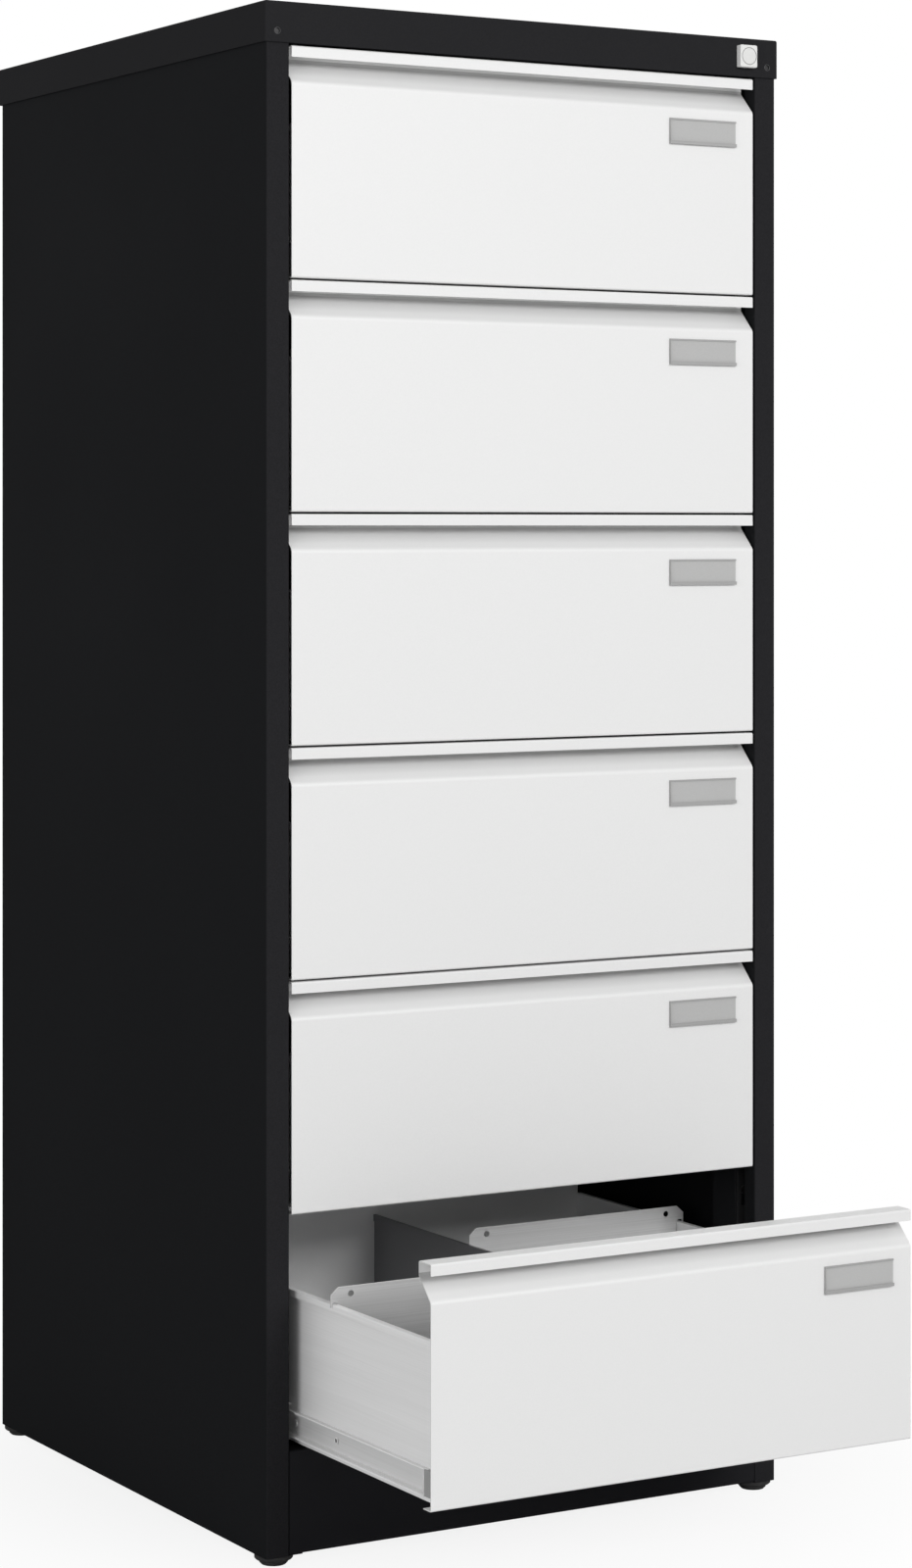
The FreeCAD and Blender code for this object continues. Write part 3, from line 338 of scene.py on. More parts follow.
cardFinish = {"fibres": (700.0, 700.0, 2600.0), "clouds": (120.0, 120.0, 60.0),
              "tones": (0.95, 1.04), "cloudShare": 0.4, "cloudTone": 0.97, "roughness": 0.85,
              "bump": 0.4, "fibreDepth": 0.00003}


def makeCard(name, colour):
    # grey card: short fibres in every direction
    material, tree, shader, place = newMaterial(name)
    p = cardFinish
    fibres = placeGroup(tree, rolledGrain, Place=place, Stretch=p["fibres"],
                        **{"Band Stretch": p["clouds"]})
    tone = spread(tree, fibres.outputs["Lines"], colour, *p["tones"])
    clouds = mathNode(tree, "MULTIPLY", fibres.outputs["Bands"], p["cloudShare"])
    feed(tree, shader.inputs["Base Color"],
         mixColours(tree, clouds, tone, shade(colour, p["cloudTone"])))
    shader.inputs["Roughness"].default_value = p["roughness"]
    bumpFrom(tree, shader, fibres.outputs["Height"], p["bump"], p["fibreDepth"])
    return material


carcassBlack = (0.0135, 0.0140, 0.0152)
# painted light: the lighter black that the carcass's front-facing faces take
paintedLightFrontBlack = (0.0205, 0.0204, 0.0222)
fasciaBlack = (0.0212, 0.0212, 0.0228)
plinthBlack = (0.0185, 0.0185, 0.0205)
frontWhite = (0.81, 0.81, 0.808)
zinc = (0.93, 0.93, 0.93)

# Heights of the finger recess below each front's top, and how dark its painted shade starts
recessSettings = {"above": 0.1 * mm, "lip": 11.0 * mm, "fadeEnd": 28.0 * mm, "least": 0.58}
firstTop, secondTop = (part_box(f"drawer_{number}_front")[1].z for number in (1, 2))
paintedRecessShade = (firstTop + recessSettings["above"], firstTop - secondTop, recessSettings["lip"],
               recessSettings["fadeEnd"], recessSettings["least"])

finishes = {
    "carcassPaint": makePaint("carcassPaint", carcassBlack, 0.55, 0.12, dust=0.01,
                              specular=0.006, paintedLightFrontTone=paintedLightFrontBlack),
    "fasciaPaint": makePaint("fasciaPaint", fasciaBlack, 0.55, 0.10, dust=0.01, specular=0.006),
    "plinthPaint": makePaint("plinthPaint", plinthBlack, 0.55, 0.12, specular=0.006),
    "frontPaint": makePaint("frontPaint", frontWhite, 0.38, 0.012, pebbleDepth=0.00002,
                            paintedShadeBelow=paintedRecessShade),
    "traySheet": makeSheet("traySheet", zinc, 0.5, 0.035, along="Y", metallic=0.15),
    # painted shade: the divider is a dark copy of the drawer sheet, for the shade it stands in
    "dividerPaintedShade": makeSheet("dividerPaintedShade", (0.22, 0.22, 0.23), 0.45, 0.06, along="Y",
                              metallic=0.5),
    "followerSheet": makeSheet("followerSheet", (0.63, 0.63, 0.63), 0.42, 0.10, along="X",
                               metallic=0.3),
    "slideSteel": makeSheet("slideSteel", (0.80, 0.80, 0.80), 0.4, 0.05, along="Y", metallic=0.3),
    "rimSteel": makeSheet("rimSteel", (0.07, 0.07, 0.073), 0.4, 0.05, along="X", metallic=0.3),
    # painted highlight: a lighter copy of the slide steel for the bright lines along the member
    # lips and the eyelet rims
    "paintedHighlightSteel": makeSheet("paintedHighlightSteel", (0.93, 0.93, 0.93), 0.3, 0.02, along="Y", metallic=0.1),
    # painted shade: a darker copy of the slide steel, for the shade at the members' front ends
    "tabPaintedShade": makeSheet("tabPaintedShade", (0.36, 0.36, 0.36), 0.5, 0.05, along="Z", metallic=0.2),
    # painted shade: the near-black disc that stands for the shade inside each eyelet's hollow
    "hollowPaintedShade": makeSheet("hollowPaintedShade", (0.05, 0.05, 0.05), 0.6, 0.10, along="Y", metallic=0.1),
    "cageSteel": makeSheet("cageSteel", (0.50, 0.50, 0.50), 0.38, 0.05, along="Y", metallic=0.95),
    "ballSteel": makeSheet("ballSteel", (0.68, 0.68, 0.69), 0.12, 0.02, along="X", metallic=1.0),
    "labelFrame": makePaint("labelFrame", (0.36, 0.36, 0.358), 0.4, 0.03),
    "labelCard": makeCard("labelCard", (0.475, 0.475, 0.472)),
    # painted light: the lock case's sides are a lighter white than the tone its front face takes
    "lockCase": makePaint("lockCase", (0.93, 0.93, 0.925), 0.35, 0.02,
                          paintedLightFrontTone=(0.76, 0.76, 0.75)),
    "lockPlug": makeSheet("lockPlug", (0.70, 0.70, 0.69), 0.35, 0.02, along="X", metallic=0.1),
    "lockRing": makeSheet("lockRing", (0.20, 0.20, 0.20), 0.4, 0.05, along="X", metallic=0.6),
    "barSteel": makeSheet("barSteel", (0.035, 0.035, 0.037), 0.5, 0.08, along="Z", metallic=0.4),
    "footPlastic": makeMoulded("footPlastic", (0.006, 0.006, 0.006), 0.55),
    "screwSteel": makeSheet("screwSteel", (0.018, 0.018, 0.019), 0.45, 0.08, along="X",
                            metallic=0.4),
}

# Each CAD piece gets its finish
finishOf = {
    "side_left": "carcassPaint", "side_right": "carcassPaint", "back_panel": "carcassPaint",
    "slide_uprights": "carcassPaint", "top_cover": "fasciaPaint", "base_pan": "plinthPaint",
    "levelling_feet": "footPlastic", "lock_housing": "lockCase", "lock_cylinder": "lockPlug",
    "lock_bar": "barSteel", "cabinet_slide_members": "slideSteel",
    "screws_and_nuts": "screwSteel",
}
drawerFinishOf = {
    "front": "frontPaint", "tray": "traySheet", "divider": "dividerPaintedShade",
    "label_holder": "labelFrame", "slide_members": "slideSteel", "ball_cages": "cageSteel",
    "follower_left": "followerSheet", "follower_right": "followerSheet",
}
for number in drawerNumbers:
    for part, finish in drawerFinishOf.items():
        finishOf[f"drawer_{number}_{part}"] = finish
for node, finish in finishOf.items():
    cadNodes[node].data.materials.clear()
    cadNodes[node].data.materials.append(finishes[finish])
print("finishes made:", len(finishes))


# Pieces that the solids leave to this file

def linkNew(name, data):
    thing = bpy.data.objects.new(name, data)
    bpy.context.scene.collection.objects.link(thing)
    return thing


def objectFrom(name, mesh, finish):
    piece = linkNew(name, mesh)
    mesh.materials.clear()
    mesh.materials.append(finishes[finish])
    return piece


def meshFrom(name, bm):
    mesh = bpy.data.meshes.new(name)
    bm.to_mesh(mesh)
    bm.free()
    return mesh


def anglesOf(count):
    return [2 * math.pi * step / count for step in range(count)]


def closeRings(bm, rings):
    # faces between each ring of vertices and the next, the last back to the first
    for place, ring in enumerate(rings):
        following = rings[(place + 1) % len(rings)]
        for corner in range(len(ring)):
            other = (corner + 1) % len(ring)
            bm.faces.new((ring[corner], ring[other], following[other], following[corner]))


def membersOf(number):
    # the box of a drawer's slide members, and the height of their middle
    low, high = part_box(f"drawer_{number}_slide_members")
    return low, high, (low.z + high.z) / 2


cardSettings = {"inset": 0.7 * mm, "back": 0.7 * mm, "thickness": 0.5 * mm, "bow": 0.15 * mm,
                "columns": 16, "corner": 0.8 * mm, "endPlay": 0.2 * mm}


def makeLabelCard(number):
    # a grey card slid into the frame from its open right end, bowed a little
    low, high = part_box(f"drawer_{number}_label_holder")
    face = high.y
    left, right = low.x + cardSettings["inset"], high.x - cardSettings["endPlay"]
    bottom, top = low.z + cardSettings["inset"], high.z - cardSettings["inset"]
    bm = bmesh.new()
    rings = []
    for column in range(cardSettings["columns"] + 1):
        share = column / cardSettings["columns"]
        x = left + (right - left) * share
        bow = cardSettings["bow"] * math.sin(math.pi * share)
        cut = cardSettings["corner"] if column in (0, cardSettings["columns"]) else 0.0
        front = face - cardSettings["back"] - cardSettings["thickness"] - bow
        back = front + cardSettings["thickness"]
        rings.append([bm.verts.new((x, y, z)) for y, z in (
            (front, bottom + cut), (front, top - cut), (back, top - cut), (back, bottom + cut))])
    for near, far in zip(rings, rings[1:]):
        for corner in range(4):
            following = (corner + 1) % 4
            bm.faces.new((near[corner], near[following], far[following], far[corner]))
    bm.faces.new(rings[0])
    bm.faces.new(reversed(rings[-1]))
    bmesh.ops.recalc_face_normals(bm, faces=bm.faces)
    name = f"drawer_{number}_card"
    card = objectFrom(name, meshFrom(name, bm), "labelCard")
    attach(card, f"drawer_{number}")


for number in drawerNumbers:
    makeLabelCard(number)
print("label cards made")


# Rows of like things: one tree sets a shape at every point of a grid of rows

def buildRowTree():
    tree = bpy.data.node_groups.new("shapeRows", "GeometryNodeTree")
    sockets = [("Geometry", "NodeSocketGeometry", None), ("Shape", "NodeSocketObject", None),
               ("Start", "NodeSocketVector", (0, 0, 0)), ("Count", "NodeSocketInt", 4),
               ("Step", "NodeSocketVector", (0, 0.04, 0)), ("Rows", "NodeSocketInt", 2),
               ("Row Step", "NodeSocketVector", (0, 0, 0.02)), ("Seed", "NodeSocketInt", 3),
               ("Spin", "NodeSocketVector", (0, 0, 0)), ("Finish", "NodeSocketMaterial", None)]
    for name, kind, value in sockets:
        socket = tree.interface.new_socket(name, in_out="INPUT", socket_type=kind)
        if value is not None:
            socket.default_value = value
    tree.interface.new_socket("Geometry", in_out="OUTPUT", socket_type="NodeSocketGeometry")
    given = addNode(tree, "NodeGroupInput").outputs
    result = addNode(tree, "NodeGroupOutput")
    lines = []
    for count, step, start in (("Count", "Step", "Start"), ("Rows", "Row Step", None)):
        line = addNode(tree, "GeometryNodeMeshLine", mode="OFFSET")
        feed(tree, line.inputs["Count"], given[count])
        feed(tree, line.inputs["Offset"], given[step])
        if start:
            feed(tree, line.inputs["Start Location"], given[start])
        lines.append(line.outputs["Mesh"])
    grid = addNode(tree, "GeometryNodeInstanceOnPoints")
    feed(tree, grid.inputs["Points"], lines[1])
    feed(tree, grid.inputs["Instance"], lines[0])
    gridPoints = addNode(tree, "GeometryNodeRealizeInstances")
    feed(tree, gridPoints.inputs["Geometry"], grid.outputs["Instances"])
    shape = addNode(tree, "GeometryNodeObjectInfo")
    feed(tree, shape.inputs["Object"], given["Shape"])
    turn = addNode(tree, "FunctionNodeRandomValue", data_type="FLOAT_VECTOR")
    feed(tree, turn.inputs["Max"], given["Spin"])
    feed(tree, turn.inputs["Seed"], given["Seed"])
    setOut = addNode(tree, "GeometryNodeInstanceOnPoints")
    feed(tree, setOut.inputs["Points"], gridPoints.outputs["Geometry"])
    feed(tree, setOut.inputs["Instance"], shape.outputs["Geometry"])
    vectorOutput = next(s for s in turn.outputs if s.type == "VECTOR" and s.enabled)
    feed(tree, setOut.inputs["Rotation"], vectorOutput)
    solid = addNode(tree, "GeometryNodeRealizeInstances")
    feed(tree, solid.inputs["Geometry"], setOut.outputs["Instances"])
    finish = addNode(tree, "GeometryNodeSetMaterial")
    feed(tree, finish.inputs["Geometry"], solid.outputs["Geometry"])
    feed(tree, finish.inputs["Material"], given["Finish"])
    feed(tree, result.inputs["Geometry"], finish.outputs["Geometry"])
    return tree


rowTree = buildRowTree()


def setRows(shape, finish, **values):
    # runs the row tree once and gives back a plain mesh
    carrier = linkNew("rowCarrier", bpy.data.meshes.new("rowCarrier"))
    modifier = carrier.modifiers.new("rows", "NODES")
    modifier.node_group = rowTree
    names = {item.name: item.identifier for item in rowTree.interface.items_tree
             if item.item_type == "SOCKET" and item.in_out == "INPUT"}
    modifier[names["Shape"]] = shape
    modifier[names["Finish"]] = finishes[finish]
    for name, value in values.items():
        modifier[names[name.replace("_", " ")]] = value
    graph = bpy.context.evaluated_depsgraph_get()
    mesh = bpy.data.meshes.new_from_object(carrier.evaluated_get(graph))
    carrier.modifiers.clear()
    bpy.data.objects.remove(carrier)
    return mesh


def joinMeshes(name, meshes, finish):
    bm = bmesh.new()
    for mesh in meshes:
        bm.from_mesh(mesh)
        bpy.data.meshes.remove(mesh)
    mesh = meshFrom(name, bm)
    for face in mesh.polygons:
        face.use_smooth = True
        face.material_index = 0
    return objectFrom(name, mesh, finish)


def hiddenShape(name, bm):
    # a shape only for the row tree to copy
    return bpy.data.objects.new(name, meshFrom(name, bm))


ballSettings = {"radius": 2.35 * mm, "across": 4.1 * mm, "spacing": 40 * mm, "perRace": 3,
                "raceGap": 4.8 * mm, "memberHeight": 22.6 * mm, "segments": 16, "rings": 10}


def makeBallShape():
    bm = bmesh.new()
    bmesh.ops.create_uvsphere(bm, u_segments=ballSettings["segments"],
                              v_segments=ballSettings["rings"], radius=ballSettings["radius"])
    return hiddenShape("ballShape", bm)


ballShape = makeBallShape()


def makeBalls(number):
    # three balls in each race, above and below, on both sides
    low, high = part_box(f"drawer_{number}_ball_cages")
    level = (low.z + high.z) / 2
    middle = (low.y + high.y) / 2
    raceStep = ballSettings["memberHeight"] + ballSettings["raceGap"]
    inner = trayHalf + ballSettings["across"]
    first = middle - ballSettings["spacing"] * (ballSettings["perRace"] - 1) / 2
    meshes = [setRows(ballShape, "ballSteel", Start=(side * inner, first, level - raceStep / 2),
                      Count=ballSettings["perRace"], Step=(0, ballSettings["spacing"], 0),
                      Rows=2, Row_Step=(0, 0, raceStep)) for side in (-1, 1)]
    balls = joinMeshes(f"drawer_{number}_balls", meshes, "ballSteel")
    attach(balls, f"drawer_{number}_ball_cages")


for number in drawerNumbers:
    makeBalls(number)
print("balls made")


domeSettings = {"segments": 20, "rings": 4, "collar": 0.25}


def makeDome(radius, height, axis):
    # a low round head that bulges along an axis from the origin
    segments, rings, collar = (domeSettings[key] for key in ("segments", "rings", "collar"))
    bm = bmesh.new()
    circles = []
    for ring in range(rings):
        share = ring / rings
        ringRadius = radius * math.cos(share * math.pi / 2)
        level = height * (collar + (1 - collar) * math.sin(share * math.pi / 2))
        circles.append([bm.verts.new((ringRadius * math.cos(angle), ringRadius * math.sin(angle),
                                      level)) for angle in anglesOf(segments)])
    tip = bm.verts.new((0, 0, height))
    foot = [bm.verts.new((v.co.x, v.co.y, 0)) for v in circles[0]]
    for lower, upper in zip([foot] + circles[:-1], circles):
        for s in range(segments):
            t = (s + 1) % segments
            bm.faces.new((lower[s], lower[t], upper[t], upper[s]))
    for s in range(segments):
        bm.faces.new((circles[-1][s], circles[-1][(s + 1) % segments], tip))
    bm.faces.new(list(reversed(foot)))
    turn = Vector((0, 0, 1)).rotation_difference(Vector(axis)).to_matrix().to_4x4()
    bmesh.ops.transform(bm, matrix=turn, verts=bm.verts)
    bmesh.ops.recalc_face_normals(bm, faces=bm.faces)
    return bm


rivetSettings = {"memberRivet": 3.6 * mm, "memberHead": 1.1 * mm, "memberFirst": 258 * mm,
                 "memberStep": 234 * mm, "backRivet": 3.2 * mm, "backHead": 1.0 * mm,
                 "backRows": 9, "backEdge": 8 * mm, "backEnd": 60 * mm, "memberWeb": 1.0 * mm}
memberRivetShapes = {side: hiddenShape(f"memberRivet{side}",
                                       makeDome(rivetSettings["memberRivet"],
                                                rivetSettings["memberHead"], (side, 0, 0)))
                     for side in (-1, 1)}


def makeMemberRivets(number):
    # rivets that hold each drawer member to the tray wall
    low, _, level = membersOf(number)
    meshes = []
    for side in (-1, 1):
        web = side * (trayHalf + rivetSettings["memberWeb"])
        meshes.append(setRows(memberRivetShapes[side], "slideSteel",
                              Start=(web, low.y + rivetSettings["memberFirst"], level),
                              Count=2, Step=(0, rivetSettings["memberStep"], 0), Rows=1))
    rivets = joinMeshes(f"drawer_{number}_member_rivets", meshes, "slideSteel")
    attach(rivets, f"drawer_{number}")


for number in drawerNumbers:
    makeMemberRivets(number)


def makeBackRivets():
    # rivets through the rear flanges into the back panel
    low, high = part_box("side_left")
    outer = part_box("side_right")[1]
    shape = hiddenShape("backRivet", makeDome(rivetSettings["backRivet"],
                                              rivetSettings["backHead"], (0, 1, 0)))
    tall = high.z - low.z - 2 * rivetSettings["backEnd"]
    width = outer.x - low.x - 2 * rivetSettings["backEdge"]
    mesh = setRows(shape, "carcassPaint",
                   Start=(low.x + rivetSettings["backEdge"], high.y,
                          low.z + rivetSettings["backEnd"]),
                   Count=2, Step=(width, 0, 0), Rows=rivetSettings["backRows"],
                   Row_Step=(0, 0, tall / (rivetSettings["backRows"] - 1)))
    rivets = joinMeshes("back_rivets", [mesh], "carcassPaint")
    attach(rivets, "carcass")


makeBackRivets()
print("rivets made")


plateSettings = {"thickness": 1.2 * mm, "play": 0.5 * mm, "wall": trayHalf, "roll": 5 * mm,
                 "hook": 1.6 * mm, "hookDrop": 2.5 * mm, "notch": 2.0 * mm, "rise": 16.3 * mm,
                 "chamferAcross": 8.0 * mm, "chamferDown": 7.0 * mm, "seatGap": 0.3 * mm,
                 "sheet": 1.0 * mm, "hem": 3.0 * mm, "hole": 3.1 * mm, "holeSides": 28,
                 "outerHoleIn": 21.5 * mm, "innerHoleIn": 20.5 * mm, "holeRise": 9.0 * mm,
                 "footLap": 0.1 * mm, "edge": 0.25 * mm, "edgeSegments": 2,
                 "edgeProfile": 0.7, "sharpAngle": 1.2, "longRun": 3.6 * mm}


def plateOutline(low, top):
    # the plate's edge as seen from the front, from the divider outwards
    p = plateSettings
    hookIn = p["wall"] + p["roll"] + p["play"]
    end = hookIn + p["hook"]
    outer, inner = p["wall"] - p["sheet"] - p["play"], p["hem"] / 2 + p["play"]
    high = top + p["rise"]
    seat, shoulder, hookLow = top + p["seatGap"], top + p["notch"], top - p["hookDrop"]
    return [(inner, low), (outer, low), (outer, seat), (p["wall"], seat), (p["wall"], shoulder),
            (hookIn, shoulder), (hookIn, hookLow), (end, hookLow), (end, high - p["chamferDown"]),
            (end - p["chamferAcross"], high), (p["play"] + p["chamferAcross"], high),
            (p["play"], high - p["chamferDown"]), (p["play"], seat), (inner, seat)]


def addLoop(bm, points, y):
    # a closed run of edges in one plane across the drawer
    verts = [bm.verts.new((x, y, z)) for x, z in points]
    return [bm.edges.new((verts[i], verts[(i + 1) % len(verts)])) for i in range(len(verts))]


def addFoot(bm, side, low, high):
    # the sheet's foot, folded back; gives its long edges, which stay sharp
    p = plateSettings
    outer, inner = p["wall"] - p["sheet"] - p["play"], p["hem"] / 2 + p["play"]
    start = low.y + p["thickness"] - p["footLap"]
    corners = [(x, y, z) for x in (side * inner, side * outer)
               for y in (start, high.y) for z in (low.z, low.z + p["thickness"])]
    foot = bmesh.ops.convex_hull(bm, input=[bm.verts.new(c) for c in corners])
    faces = [f for f in foot["geom"] if isinstance(f, bmesh.types.BMFace)]
    return {e for f in faces for e in f.edges if e.calc_length() > p["longRun"]}


def makeFollowerPlate(number, side, word):
    # a sheet plate with a punched hole in each ear and a foot folded back along its bottom
    node = f"drawer_{number}_follower_{word}"
    low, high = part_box(node)
    p = plateSettings
    top = high.z - p["rise"]
    outline = [(side * x, z) for x, z in plateOutline(low.z, top)]
    holes = (p["wall"] + p["roll"] + p["play"] + p["hook"] - p["outerHoleIn"],
             p["play"] + p["innerHoleIn"])
    bm = bmesh.new()
    edges = addLoop(bm, outline, low.y)
    for across in holes:
        ring = [(side * across + p["hole"] * math.cos(a),
                 top + p["holeRise"] + p["hole"] * math.sin(a)) for a in anglesOf(p["holeSides"])]
        edges += addLoop(bm, ring, low.y)
    bmesh.ops.triangle_fill(bm, edges=edges, use_beauty=True, use_dissolve=False)
    sheet = bmesh.ops.extrude_face_region(bm, geom=list(bm.faces))
    bmesh.ops.translate(bm, vec=(0, p["thickness"], 0),
                        verts=[v for v in sheet["geom"] if isinstance(v, bmesh.types.BMVert)])
    footEdges = addFoot(bm, side, low, high)
    bmesh.ops.recalc_face_normals(bm, faces=bm.faces)
    rims = [e for e in bm.edges if len(e.link_faces) == 2 and e not in footEdges
            and e.calc_face_angle(0) > p["sharpAngle"]]
    bmesh.ops.bevel(bm, geom=rims, offset=p["edge"], segments=p["edgeSegments"],
                    profile=p["edgeProfile"], affect="EDGES", clamp_overlap=True)
    bmesh.ops.recalc_face_normals(bm, faces=bm.faces)
    name = f"drawer_{number}_plate_{word}"
    plate = objectFrom(name, meshFrom(name, bm), "followerSheet")
    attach(plate, node)
    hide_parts(node)


for number in drawerNumbers:
    makeFollowerPlate(number, -1, "left")
    makeFollowerPlate(number, 1, "right")
print("follower plates made")


lipSettings = {"radius": 0.42 * mm, "sides": 10, "race": 12.5 * mm, "endShare": 0.5}


def sweepBead(bm, points, radius, sides):
    # a round bead along straight runs between points, with closed ends
    for start, end in zip(points, points[1:]):
        along = (Vector(end) - Vector(start)).normalized()
        across = along.cross(Vector((1, 0, 0))).normalized()
        up = along.cross(across)
        spare = along * radius * lipSettings["endShare"]
        near, far = [[bm.verts.new(place + radius * (math.cos(a) * across + math.sin(a) * up))
                      for a in anglesOf(sides)] for place in (Vector(start) - spare,
                                                              Vector(end) + spare)]
        for s in range(sides):
            t = (s + 1) % sides
            bm.faces.new((near[s], near[t], far[t], far[s]))
        bm.faces.new(near[::-1])
        bm.faces.new(far)


def makeMemberLips(number):
    # the rolled lips of each drawer member, and its folded front end, in a lighter steel that
    # paints their highlight
    low, high, level = membersOf(number)
    radius, race = lipSettings["radius"], lipSettings["race"]
    upper, lower = level + race - radius, level - race + radius
    back, front = high.y - radius, low.y + radius
    bm = bmesh.new()
    for x in (-high.x, high.x):
        sweepBead(bm, [(x, back, upper), (x, front, upper), (x, front, lower), (x, back, lower)],
                  radius, lipSettings["sides"])
    bmesh.ops.recalc_face_normals(bm, faces=bm.faces)
    name = f"drawer_{number}_member_lips"
    lips = objectFrom(name, meshFrom(name, bm), "paintedHighlightSteel")
    for face in lips.data.polygons:
        face.use_smooth = len(face.vertices) == 4
    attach(lips, f"drawer_{number}")


tabSettings = {"thickness": 1.2 * mm, "halfHeight": 12.0 * mm, "flange": 5.0 * mm,
               "inset": 0.2 * mm, "edge": 0.3 * mm, "edgeSegments": 2, "edgeProfile": 0.7}


def makeMemberTabs(number):
    # the folded tab that ties each member's front end to the drawer front, in a darker steel that
    # paints the shade there
    low, high, level = membersOf(number)
    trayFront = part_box(f"drawer_{number}_tray")[0].y
    t = tabSettings
    bm = bmesh.new()
    for side in (-1, 1):
        outer = side * (high.x - t["inset"])
        inner = outer - side * t["thickness"]
        web = outer - side * t["flange"]
        section = [(outer, trayFront), (outer, low.y), (inner, low.y),
                   (inner, trayFront + t["thickness"]), (web, trayFront + t["thickness"]),
                   (web, trayFront)]
        foot = [bm.verts.new((x, y, level - t["halfHeight"])) for x, y in section]
        head = [bm.verts.new((x, y, level + t["halfHeight"])) for x, y in section]
        bm.faces.new(foot)
        bm.faces.new(head[::-1])
        for a in range(len(section)):
            b = (a + 1) % len(section)
            bm.faces.new((foot[a], head[a], head[b], foot[b]))
    bmesh.ops.recalc_face_normals(bm, faces=bm.faces)
    bmesh.ops.bevel(bm, geom=list(bm.edges), offset=t["edge"], segments=t["edgeSegments"],
                    profile=t["edgeProfile"], affect="EDGES", clamp_overlap=True)
    bmesh.ops.recalc_face_normals(bm, faces=bm.faces)
    name = f"drawer_{number}_member_tabs"
    tabs = objectFrom(name, meshFrom(name, bm), "tabPaintedShade")
    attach(tabs, f"drawer_{number}")


eyeletSettings = {"from": 176.6 * mm, "sides": 32, "weld": 0.001 * mm}
# each piece's profile: radius and height above the web
eyeletProfiles = {
    "rims": ("paintedHighlightSteel", [(3.1, 0.0), (2.8, 0.7), (2.3, 0.7), (2.1, 0.0)]),
    "hollows": ("hollowPaintedShade", [(2.2, 0.0), (2.2, 0.12), (0.0, 0.03), (0.0, 0.0)]),
}


def makeEyelets(number):
    # the hollow rivets that key each member to the tray wall: a rim in a lighter steel that
    # paints its highlight, and a dark disc that paints the shade in the hollow
    low, _, level = membersOf(number)
    e = eyeletSettings
    for word, (finish, profile) in eyeletProfiles.items():
        bm = bmesh.new()
        for side in (-1, 1):
            web = side * (trayHalf + rivetSettings["memberWeb"])
            closeRings(bm, [[bm.verts.new((web + side * proud * mm,
                                           low.y + e["from"] + r * mm * math.cos(a),
                                           level + r * mm * math.sin(a))) for r, proud in profile]
                            for a in anglesOf(e["sides"])])
        bmesh.ops.remove_doubles(bm, verts=bm.verts, dist=e["weld"])
        bmesh.ops.dissolve_degenerate(bm, edges=bm.edges, dist=e["weld"])
        bmesh.ops.recalc_face_normals(bm, faces=bm.faces)
        name = f"drawer_{number}_eyelet_{word}"
        piece = objectFrom(name, meshFrom(name, bm), finish)
        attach(piece, f"drawer_{number}")


for number in drawerNumbers:
    makeMemberLips(number)
    makeMemberTabs(number)
    makeEyelets(number)
print("member lips, tabs and eyelets made")


lockSettings = {"ringInner": 8.3 * mm, "ringOuter": 8.9 * mm, "ringProud": 0.15 * mm,
                "segments": 64}


def makeLockRing():
    # the thin grey rim round the lock's plug
    low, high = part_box("lock_housing")
    centreX, centreZ = (low.x + high.x) / 2, (low.z + high.z) / 2
    inner, outer, proud = (lockSettings[key] for key in ("ringInner", "ringOuter", "ringProud"))
    profile = [(inner, 0.0), (inner, proud), (outer, proud), (outer, 0.0)]
    bm = bmesh.new()
    closeRings(bm, [[bm.verts.new((centreX + r * math.cos(a), low.y - rise,
                                   centreZ + r * math.sin(a))) for r, rise in profile]
                    for a in anglesOf(lockSettings["segments"])])
    bmesh.ops.recalc_face_normals(bm, faces=bm.faces)
    ring = objectFrom("lock_ring", meshFrom("lock_ring", bm), "lockRing")
    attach(ring, "carcass")


makeLockRing()
print("lock ring made")


rimSettings = {"radius": 3.1 * mm, "tube": 0.3 * mm, "sides": 36, "tubeSides": 8,
               "inset": 13.0 * mm, "drop": 28.5 * mm, "sunk": 0.1 * mm}


def makeScrewRims():
    # the rolled rim that each cover screw sits in
    low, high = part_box("top_cover")
    r = rimSettings
    face, level = low.y + r["sunk"], high.z - r["drop"]
    tube = [(r["radius"] + r["tube"] * math.cos(b), r["tube"] * math.sin(b))
            for b in anglesOf(r["tubeSides"])]
    bm = bmesh.new()
    for side in (-1, 1):
        centre = side * (high.x - r["inset"])
        closeRings(bm, [[bm.verts.new((centre + radius * math.cos(a), face - rise,
                                       level + radius * math.sin(a))) for radius, rise in tube]
                        for a in anglesOf(r["sides"])])
    bmesh.ops.recalc_face_normals(bm, faces=bm.faces)
    rims = objectFrom("screw_rims", meshFrom("screw_rims", bm), "rimSteel")
    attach(rims, "carcass")


makeScrewRims()
print("screw rims made")


# Floor, light and camera

stageSettings = {"floorSize": 30.0, "fadeFrom": 0.30, "fadeTo": 0.72, "floorTone": 0.68,
                 "shadowShare": 0.13}


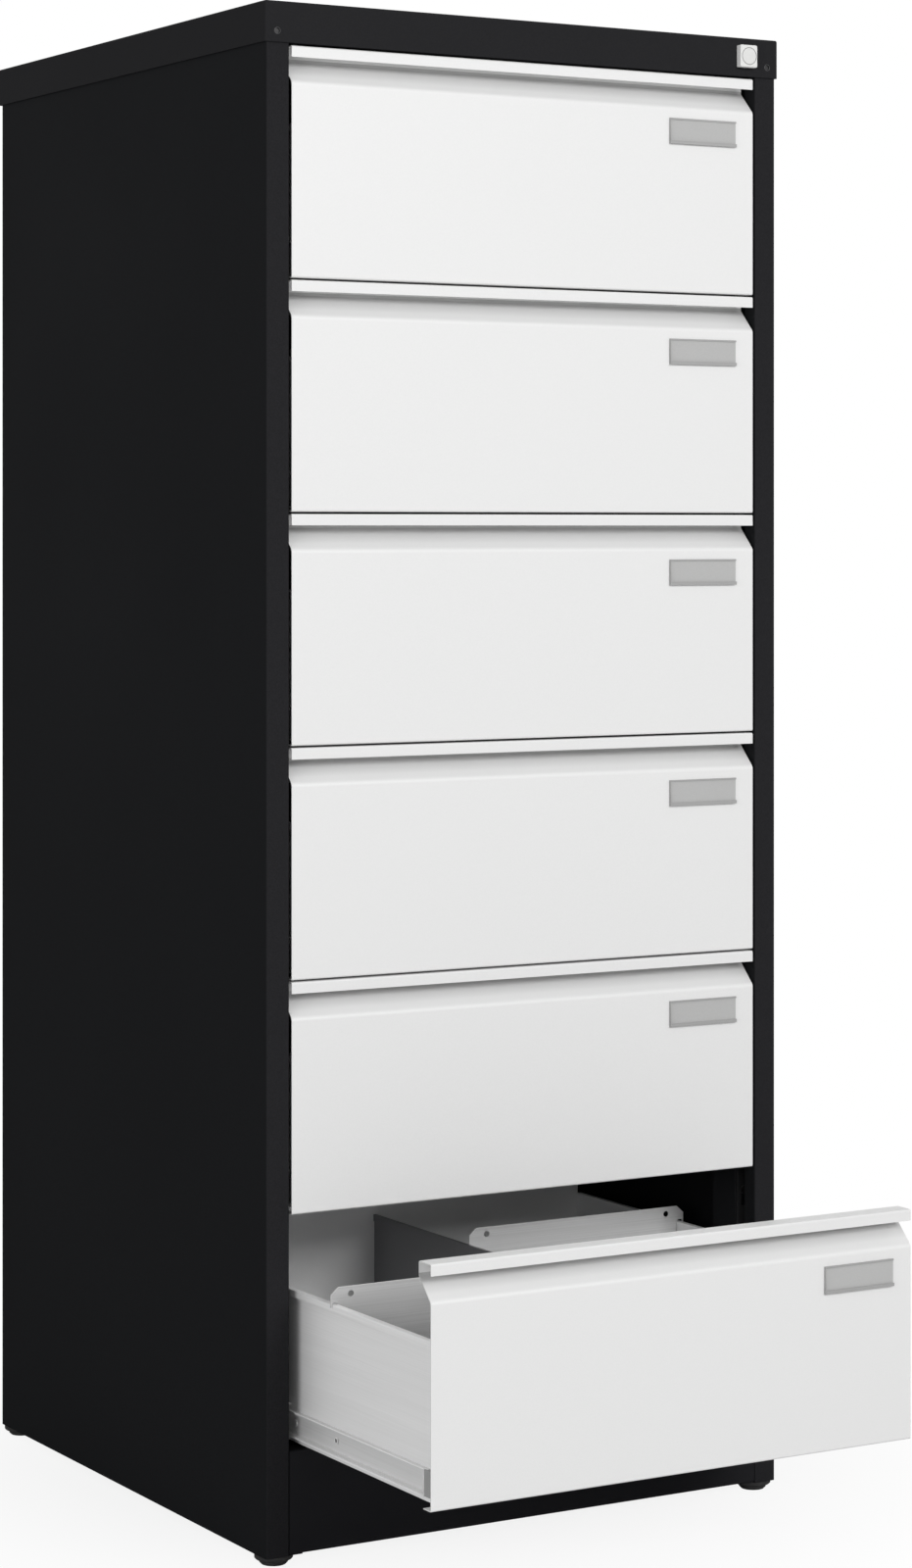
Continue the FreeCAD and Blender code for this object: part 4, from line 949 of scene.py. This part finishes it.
def makeFloor():
    # pale paper that a lens sees as white, with a trace of the cabinet's shadow
    size = stageSettings["floorSize"]
    bm = bmesh.new()
    bmesh.ops.create_grid(bm, x_segments=1, y_segments=1, size=size / 2)
    floor = linkNew("floor", meshFrom("floor", bm))
    material = bpy.data.materials.new("floorPaper")
    tree = emptyTree(material)
    output = addNode(tree, "ShaderNodeOutputMaterial")
    paper = addNode(tree, "ShaderNodeBsdfDiffuse")
    paper.inputs["Color"].default_value = (stageSettings["floorTone"],) * 3 + (1.0,)
    glow = addNode(tree, "ShaderNodeEmission")
    glow.inputs["Color"].default_value = white
    glow.inputs["Strength"].default_value = 1.0
    away = addNode(tree, "ShaderNodeVectorMath", operation="LENGTH")
    feed(tree, away.inputs[0], addNode(tree, "ShaderNodeTexCoord").outputs["Object"])
    share = rangeNode(tree, away.outputs["Value"], stageSettings["fadeFrom"],
                      stageSettings["fadeTo"], 1.0 - stageSettings["shadowShare"], 1.0)
    path = addNode(tree, "ShaderNodeLightPath")
    blend = addNode(tree, "ShaderNodeMixShader")
    feed(tree, blend.inputs[0], mathNode(tree, "MULTIPLY", share, path.outputs["Is Camera Ray"]))
    tree.links.new(paper.outputs[0], blend.inputs[1])
    tree.links.new(glow.outputs[0], blend.inputs[2])
    tree.links.new(blend.outputs[0], output.inputs["Surface"])
    floor.data.materials.append(material)


# each lamp: power, size, place and aim
lightSettings = {"world": 0.43,
                 "key": (290.0, 2.4, (1.4, -7.4, 3.6), (0.0, -0.3, 0.35)),
                 "fill": (50.0, 2.4, (-4.4, -2.2, 1.3), (-0.3, 0.0, 0.5))}


def makeWorld():
    # white to the lens and in reflections, softer as a light
    world = bpy.data.worlds.new("paleRoom")
    bpy.context.scene.world = world
    tree = emptyTree(world)
    output = addNode(tree, "ShaderNodeOutputWorld")
    backdrop = addNode(tree, "ShaderNodeBackground")
    path = addNode(tree, "ShaderNodeLightPath")
    seen = mathNode(tree, "MAXIMUM", path.outputs["Is Camera Ray"], path.outputs["Is Glossy Ray"])
    seen = mathNode(tree, "MAXIMUM", seen, path.outputs["Is Transmission Ray"])
    feed(tree, backdrop.inputs["Strength"],
         rangeNode(tree, seen, 0.0, 1.0, lightSettings["world"], 1.0))
    tree.links.new(backdrop.outputs[0], output.inputs["Surface"])
    backdrop.inputs["Color"].default_value = white


def setAndTurn(thing, place, direction):
    thing.location = place
    thing.rotation_mode = "QUATERNION"
    thing.rotation_quaternion = Vector(direction).to_track_quat("-Z", "Y")


def makeLamp(name, power, size, place, aim):
    data = bpy.data.lights.new(name, "AREA")
    data.energy = power
    data.shape = "SQUARE"
    data.size = size
    setAndTurn(linkNew(name, data), place, Vector(aim) - Vector(place))


cameraSettings = {"lens": 86.22, "sensor": 36.0, "shift": (-0.0309, -0.1626),
                  "place": (-1.9151, -3.4807, 0.9836), "forward": (0.5116, 0.8592, 0.0)}


def makeCamera():
    data = bpy.data.cameras.new("camera")
    data.lens = cameraSettings["lens"]
    data.sensor_width = cameraSettings["sensor"]
    data.shift_x, data.shift_y = cameraSettings["shift"]
    camera = linkNew("camera", data)
    setAndTurn(camera, cameraSettings["place"], cameraSettings["forward"])
    bpy.context.scene.camera = camera


makeFloor()
makeWorld()
for lampName in ("key", "fill"):
    makeLamp(lampName, *lightSettings[lampName])
makeCamera()
bpy.context.scene.view_settings.view_transform = "Standard"
print("floor, light and camera set")
